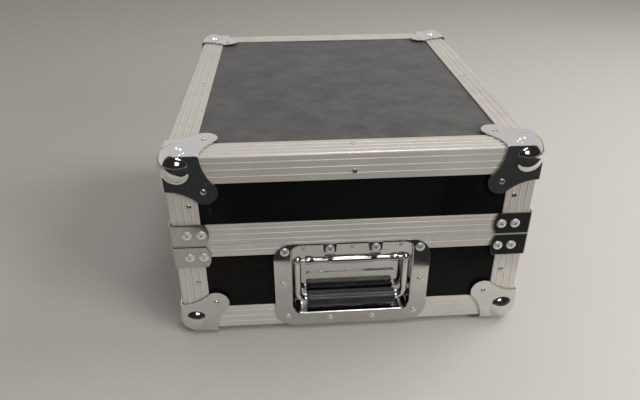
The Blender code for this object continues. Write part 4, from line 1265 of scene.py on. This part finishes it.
def bossShape(values):
    back, face, lip, cam, soft = -values["back"], *take(values, "face", "edge", "cam", "camSoft")
    profile = [(0, back), (cam - soft, back), (cam, back + soft)]
    profile += arc((cam - lip, face - lip), lip, 0, 90, steps=3) + [(0, face)]
    pieces = [settle(turnedShape(profile, steps=64), at(0, values["throw"]))]
    pieces.append(cylinder(values["stub"], back - values["stubSink"], face / 2))
    through, half = dishPress["through"], values["earHalf"]
    for sign in (-1, 1):
        ends = sorted((sign * values["earNear"], sign * values["earFar"]))
        ear = block((ends[0], -half, face / 2), (ends[1], half, values["earTop"]))
        bore = cylinder(values["bore"], -through, through, steps=24, axis="X")
        cutAway(ear, settle(bore, at(0, 0, face + values["pinStand"])))
        pieces.append(softenEdges(ear, values["earSoft"], segments=3))
    return joinAll(pieces)


def hookShape(values):
    window, throw = boss["cam"] + boss["play"], boss["throw"]
    rail, neck, corner, tip, back = take(values, "rail", "neck", "corner", "tipRound", "back")
    wide, low, shoulder = window + throw + rail, -throw - window - rail, window + rail - throw
    high = values["clawLow"] + values["clawThick"]
    half = arc((wide - corner, low + corner), corner, -90, 0, steps=6)
    half += arc((wide - corner, shoulder - corner - values["shoulderDrop"]), corner, 0, 55, steps=5)
    half += [(neck + x, shoulder + y) for x, y in values["neckCurve"]]
    half += arc((neck - tip, high - tip), tip, 0, 90, steps=3)
    reach = window + throw
    hole = roundedLoop(-reach, reach, -throw - window, window - throw, window * almostRound, steps=16)
    plate = softenEdges(prism([mirrored(half), hole], -back, values["sheet"] - back), values["soft"])
    across = dishPress["keeperHalf"]
    claw = block((-across, values["clawLow"], -boss["back"]), (across, high, values["clawDeep"] - back))
    softenEdges(claw, values["clawSoft"], segments=3)
    return settle(joinAll([plate, claw]), at(0, 2 * throw, values["out"]))


def wingShape(values):
    lobe, neck, rise, across = take(values, "lobe", "neck", "knuckleRise", "knuckleHalf")
    side = [(across, rise), (across, rise - neck)]
    side += arc((values["half"] - lobe, -neck - lobe), lobe, 60, -90, steps=18)
    side += [(x, y - values["length"]) for x, y in values["notch"]]
    body = prism([mirrored(side)], -values["thick"] / 2, values["thick"] / 2)
    knuckle = cylinder(values["knuckle"], -across, across, steps=24, axis="X")
    pin = cylinder(boss["pin"], -values["reach"], values["reach"], steps=20, axis="X")
    return joinAll([softenEdges(body, values["soft"], segments=3),
                    softenEdges(knuckle, values["knuckleSoft"]), softenEdges(pin, values["pinSoft"])])


def addCatches():
    lower, upper = catchHalves(dishPress)
    axle = at(0, boss["high"])
    moving = {
        "boss": (bossShape(boss), axle),
        "hook": (hookShape(hook), axle),
        "wing": (wingShape(wing), axle @ at(0, 0, boss["face"] + boss["pinStand"])),
    }
    for side in ("left", "right"):
        place = faceFrame(side)
        for name, shape, body in (("dish", lower, "base"), ("keeper", upper, "lid")):
            finishPiece(copyOf(shape, place), f"latch_{name}_{side}", body, zincFinish,
                        f"catch_{name}_{side}")
        for name, (shape, stand) in moving.items():
            finishPiece(copyOf(shape, place @ stand), f"latch_{name}_{side}", f"{name}_{side}", zincFinish,
                        f"catch_{name}_{side}")
    discard(lower, upper, *(shape for shape, stand in moving.values()))


addCatches()
print("catches ready")


# Foam liners: a pad with four wall strips in each half, and what the base's loses for the handle
liner = inMetres({"outer": 10.9, "thick": 12, "parting": 2, "round": 2.2, "gap": 0.15})
relief = inMetres({"half": 67.6, "low": 14.5, "high": 107, "inner": -18.3, "outer": 1})
foamCuts = 7


def addLiners(values):
    outer, thick, gap, parting = take(values, "outer", "thick", "gap", "parting")
    wide, deep = halfWidth - outer, halfDepth - outer
    inner = deep - thick
    high = case["height"] - outer
    spans = {"base": (outer, outer + thick, case["seam"] - parting / 2),
             "lid": (high, high - thick, case["seam"] + parting / 2)}
    for shell, (closed, pad, end) in spans.items():
        bars = [((-wide, -deep), (wide, deep), (closed, pad))]
        bars += [((-wide, sign * deep), (wide, sign * inner), (pad, end)) for sign in (-1, 1)]
        bars += [((sign * wide, -inner), (sign * (wide - thick), inner), (pad, end)) for sign in (-1, 1)]
        pieces = []
        for first, second, heights in bars:
            pairs = [sorted(pair) for pair in (*zip(first, second), heights)]
            bar = block([near + gap for near, away in pairs], [away - gap for near, away in pairs])
            edit(bar, lambda: bpy.ops.mesh.subdivide(number_cuts=foamCuts))
            pieces.append(softenEdges(bar, values["round"], segments=3))
        whole = settle(joinAll(pieces), at(0, 0, case["stand"]))
        if shell == "base":
            boxCut(whole, "front", **relief)
        finishPiece(whole, f"foam_{shell}", shell, foamFinish, f"{shell}_foam_liner")


addLiners(liner)
print("liners ready")


# Floor, world and lamps: a pale cloth and walls, a dim room behind the camera, a window above it
studio = {
    "floorSize": 60,
    "wallColour": (0.80, 0.79, 0.78),
    "roomColour": (0.030, 0.028, 0.026),
    "roomBehind": (-0.10, -0.26),
    "roomBelow": (0.84, 0.74),
    "worldStrength": 0.80,
    "cardHigh": 0.0008,
    "cardCorners": ((-2.2, -1.10), (-0.22, -0.465), (-0.11, -0.357), (0.30, -0.305),
                    (0.8, -0.30), (2.2, -3.2), (-2.2, -3.2)),
    "aim": (0, 0, 0.1),
}
floorLook = {"Base Color": (0.385, 0.368, 0.335), "Roughness": 0.9, "Specular IOR Level": 0}
cardLook = {"Base Color": (0.008, 0.008, 0.008), "Roughness": 0.9}
lamps = {
    "windowLamp": {"place": (0.34, -0.95, 1.9), "size": (0.50, 0.34), "power": 9, "colour": (0.96, 0.98, 1)},
    "farWindow": {"place": (0.05, -2.3, 1.15), "size": (0.75, 0.6), "power": 4.5, "colour": (0.92, 0.96, 1)},
    "keyLamp": {"place": (1.35, 0.3, 1.3), "size": (0.9, 0.9), "power": 20, "shines": False},
    "fillLamp": {"place": (1.05, -1.05, 0.7), "size": (0.7, 0.5), "power": 19, "shines": False},
    "firstCeiling": {"place": (-0.25, 0.75, 1.9), "size": (0.12, 0.12), "power": 0.8},
    "secondCeiling": {"place": (0.3, 0.65, 2.0), "size": (0.12, 0.12), "power": 0.8},
}


def addStageItem(name, look):
    item = bpy.context.active_object
    item.name = name
    material, tree, shader = newMaterial(name)
    for label, value in look.items():
        feed(tree, shader.inputs[label], value)
    item.data.materials.append(material)
    return item


def addWorld(values):
    world = bpy.data.worlds.new("studio")
    bpy.context.scene.world = world
    world.use_nodes = True
    tree = world.node_tree
    place = addNode(tree, "TexCoord", {}).outputs["Generated"]
    parts = addNode(tree, "SeparateXYZ", {0: place}).outputs
    seen = addNode(tree, "LightPath", {}).outputs["Is Camera Ray"]
    room = times(tree, remap(tree, parts["Y"], *values["roomBehind"]),
                 remap(tree, parts["Z"], *values["roomBelow"]))
    room = times(tree, room, minus(tree, 1.0, seen))
    sky = tree.nodes["Background"].inputs
    feed(tree, sky["Color"], mixColour(tree, room, values["wallColour"], values["roomColour"]))
    feed(tree, sky["Strength"], values["worldStrength"])


def addCard(values):
    # A black card on the floor in front, seen only in the shine of the metal
    outline = values["cardCorners"]
    bpy.ops.mesh.primitive_circle_add(vertices=len(outline), fill_type="NGON")
    card = addStageItem("blackCard", cardLook)
    for vertex, (x, y) in zip(card.data.vertices, outline):
        vertex.co = (x, y, values["cardHigh"])
    card.visible_camera = False
    card.visible_diffuse = False
    card.visible_shadow = False


def addLamp(name, place, size, power, colour=(1, 1, 1), shines=True):
    data = bpy.data.lights.new(name, "AREA")
    data.shape = "RECTANGLE"
    data.size, data.size_y = size
    data.energy = power
    data.color = colour
    item = linked(data)
    item.location = place
    item.rotation_euler = (Vector(studio["aim"]) - Vector(place)).to_track_quat("-Z", "Y").to_euler()
    item.visible_glossy = shines


def addStudio(values):
    bpy.ops.mesh.primitive_plane_add(size=values["floorSize"], location=(0, 0, 0))
    addStageItem("floor", floorLook)
    addWorld(values)
    addCard(values)
    for name, lamp in lamps.items():
        addLamp(name, **lamp)


addStudio(studio)
print("studio ready")
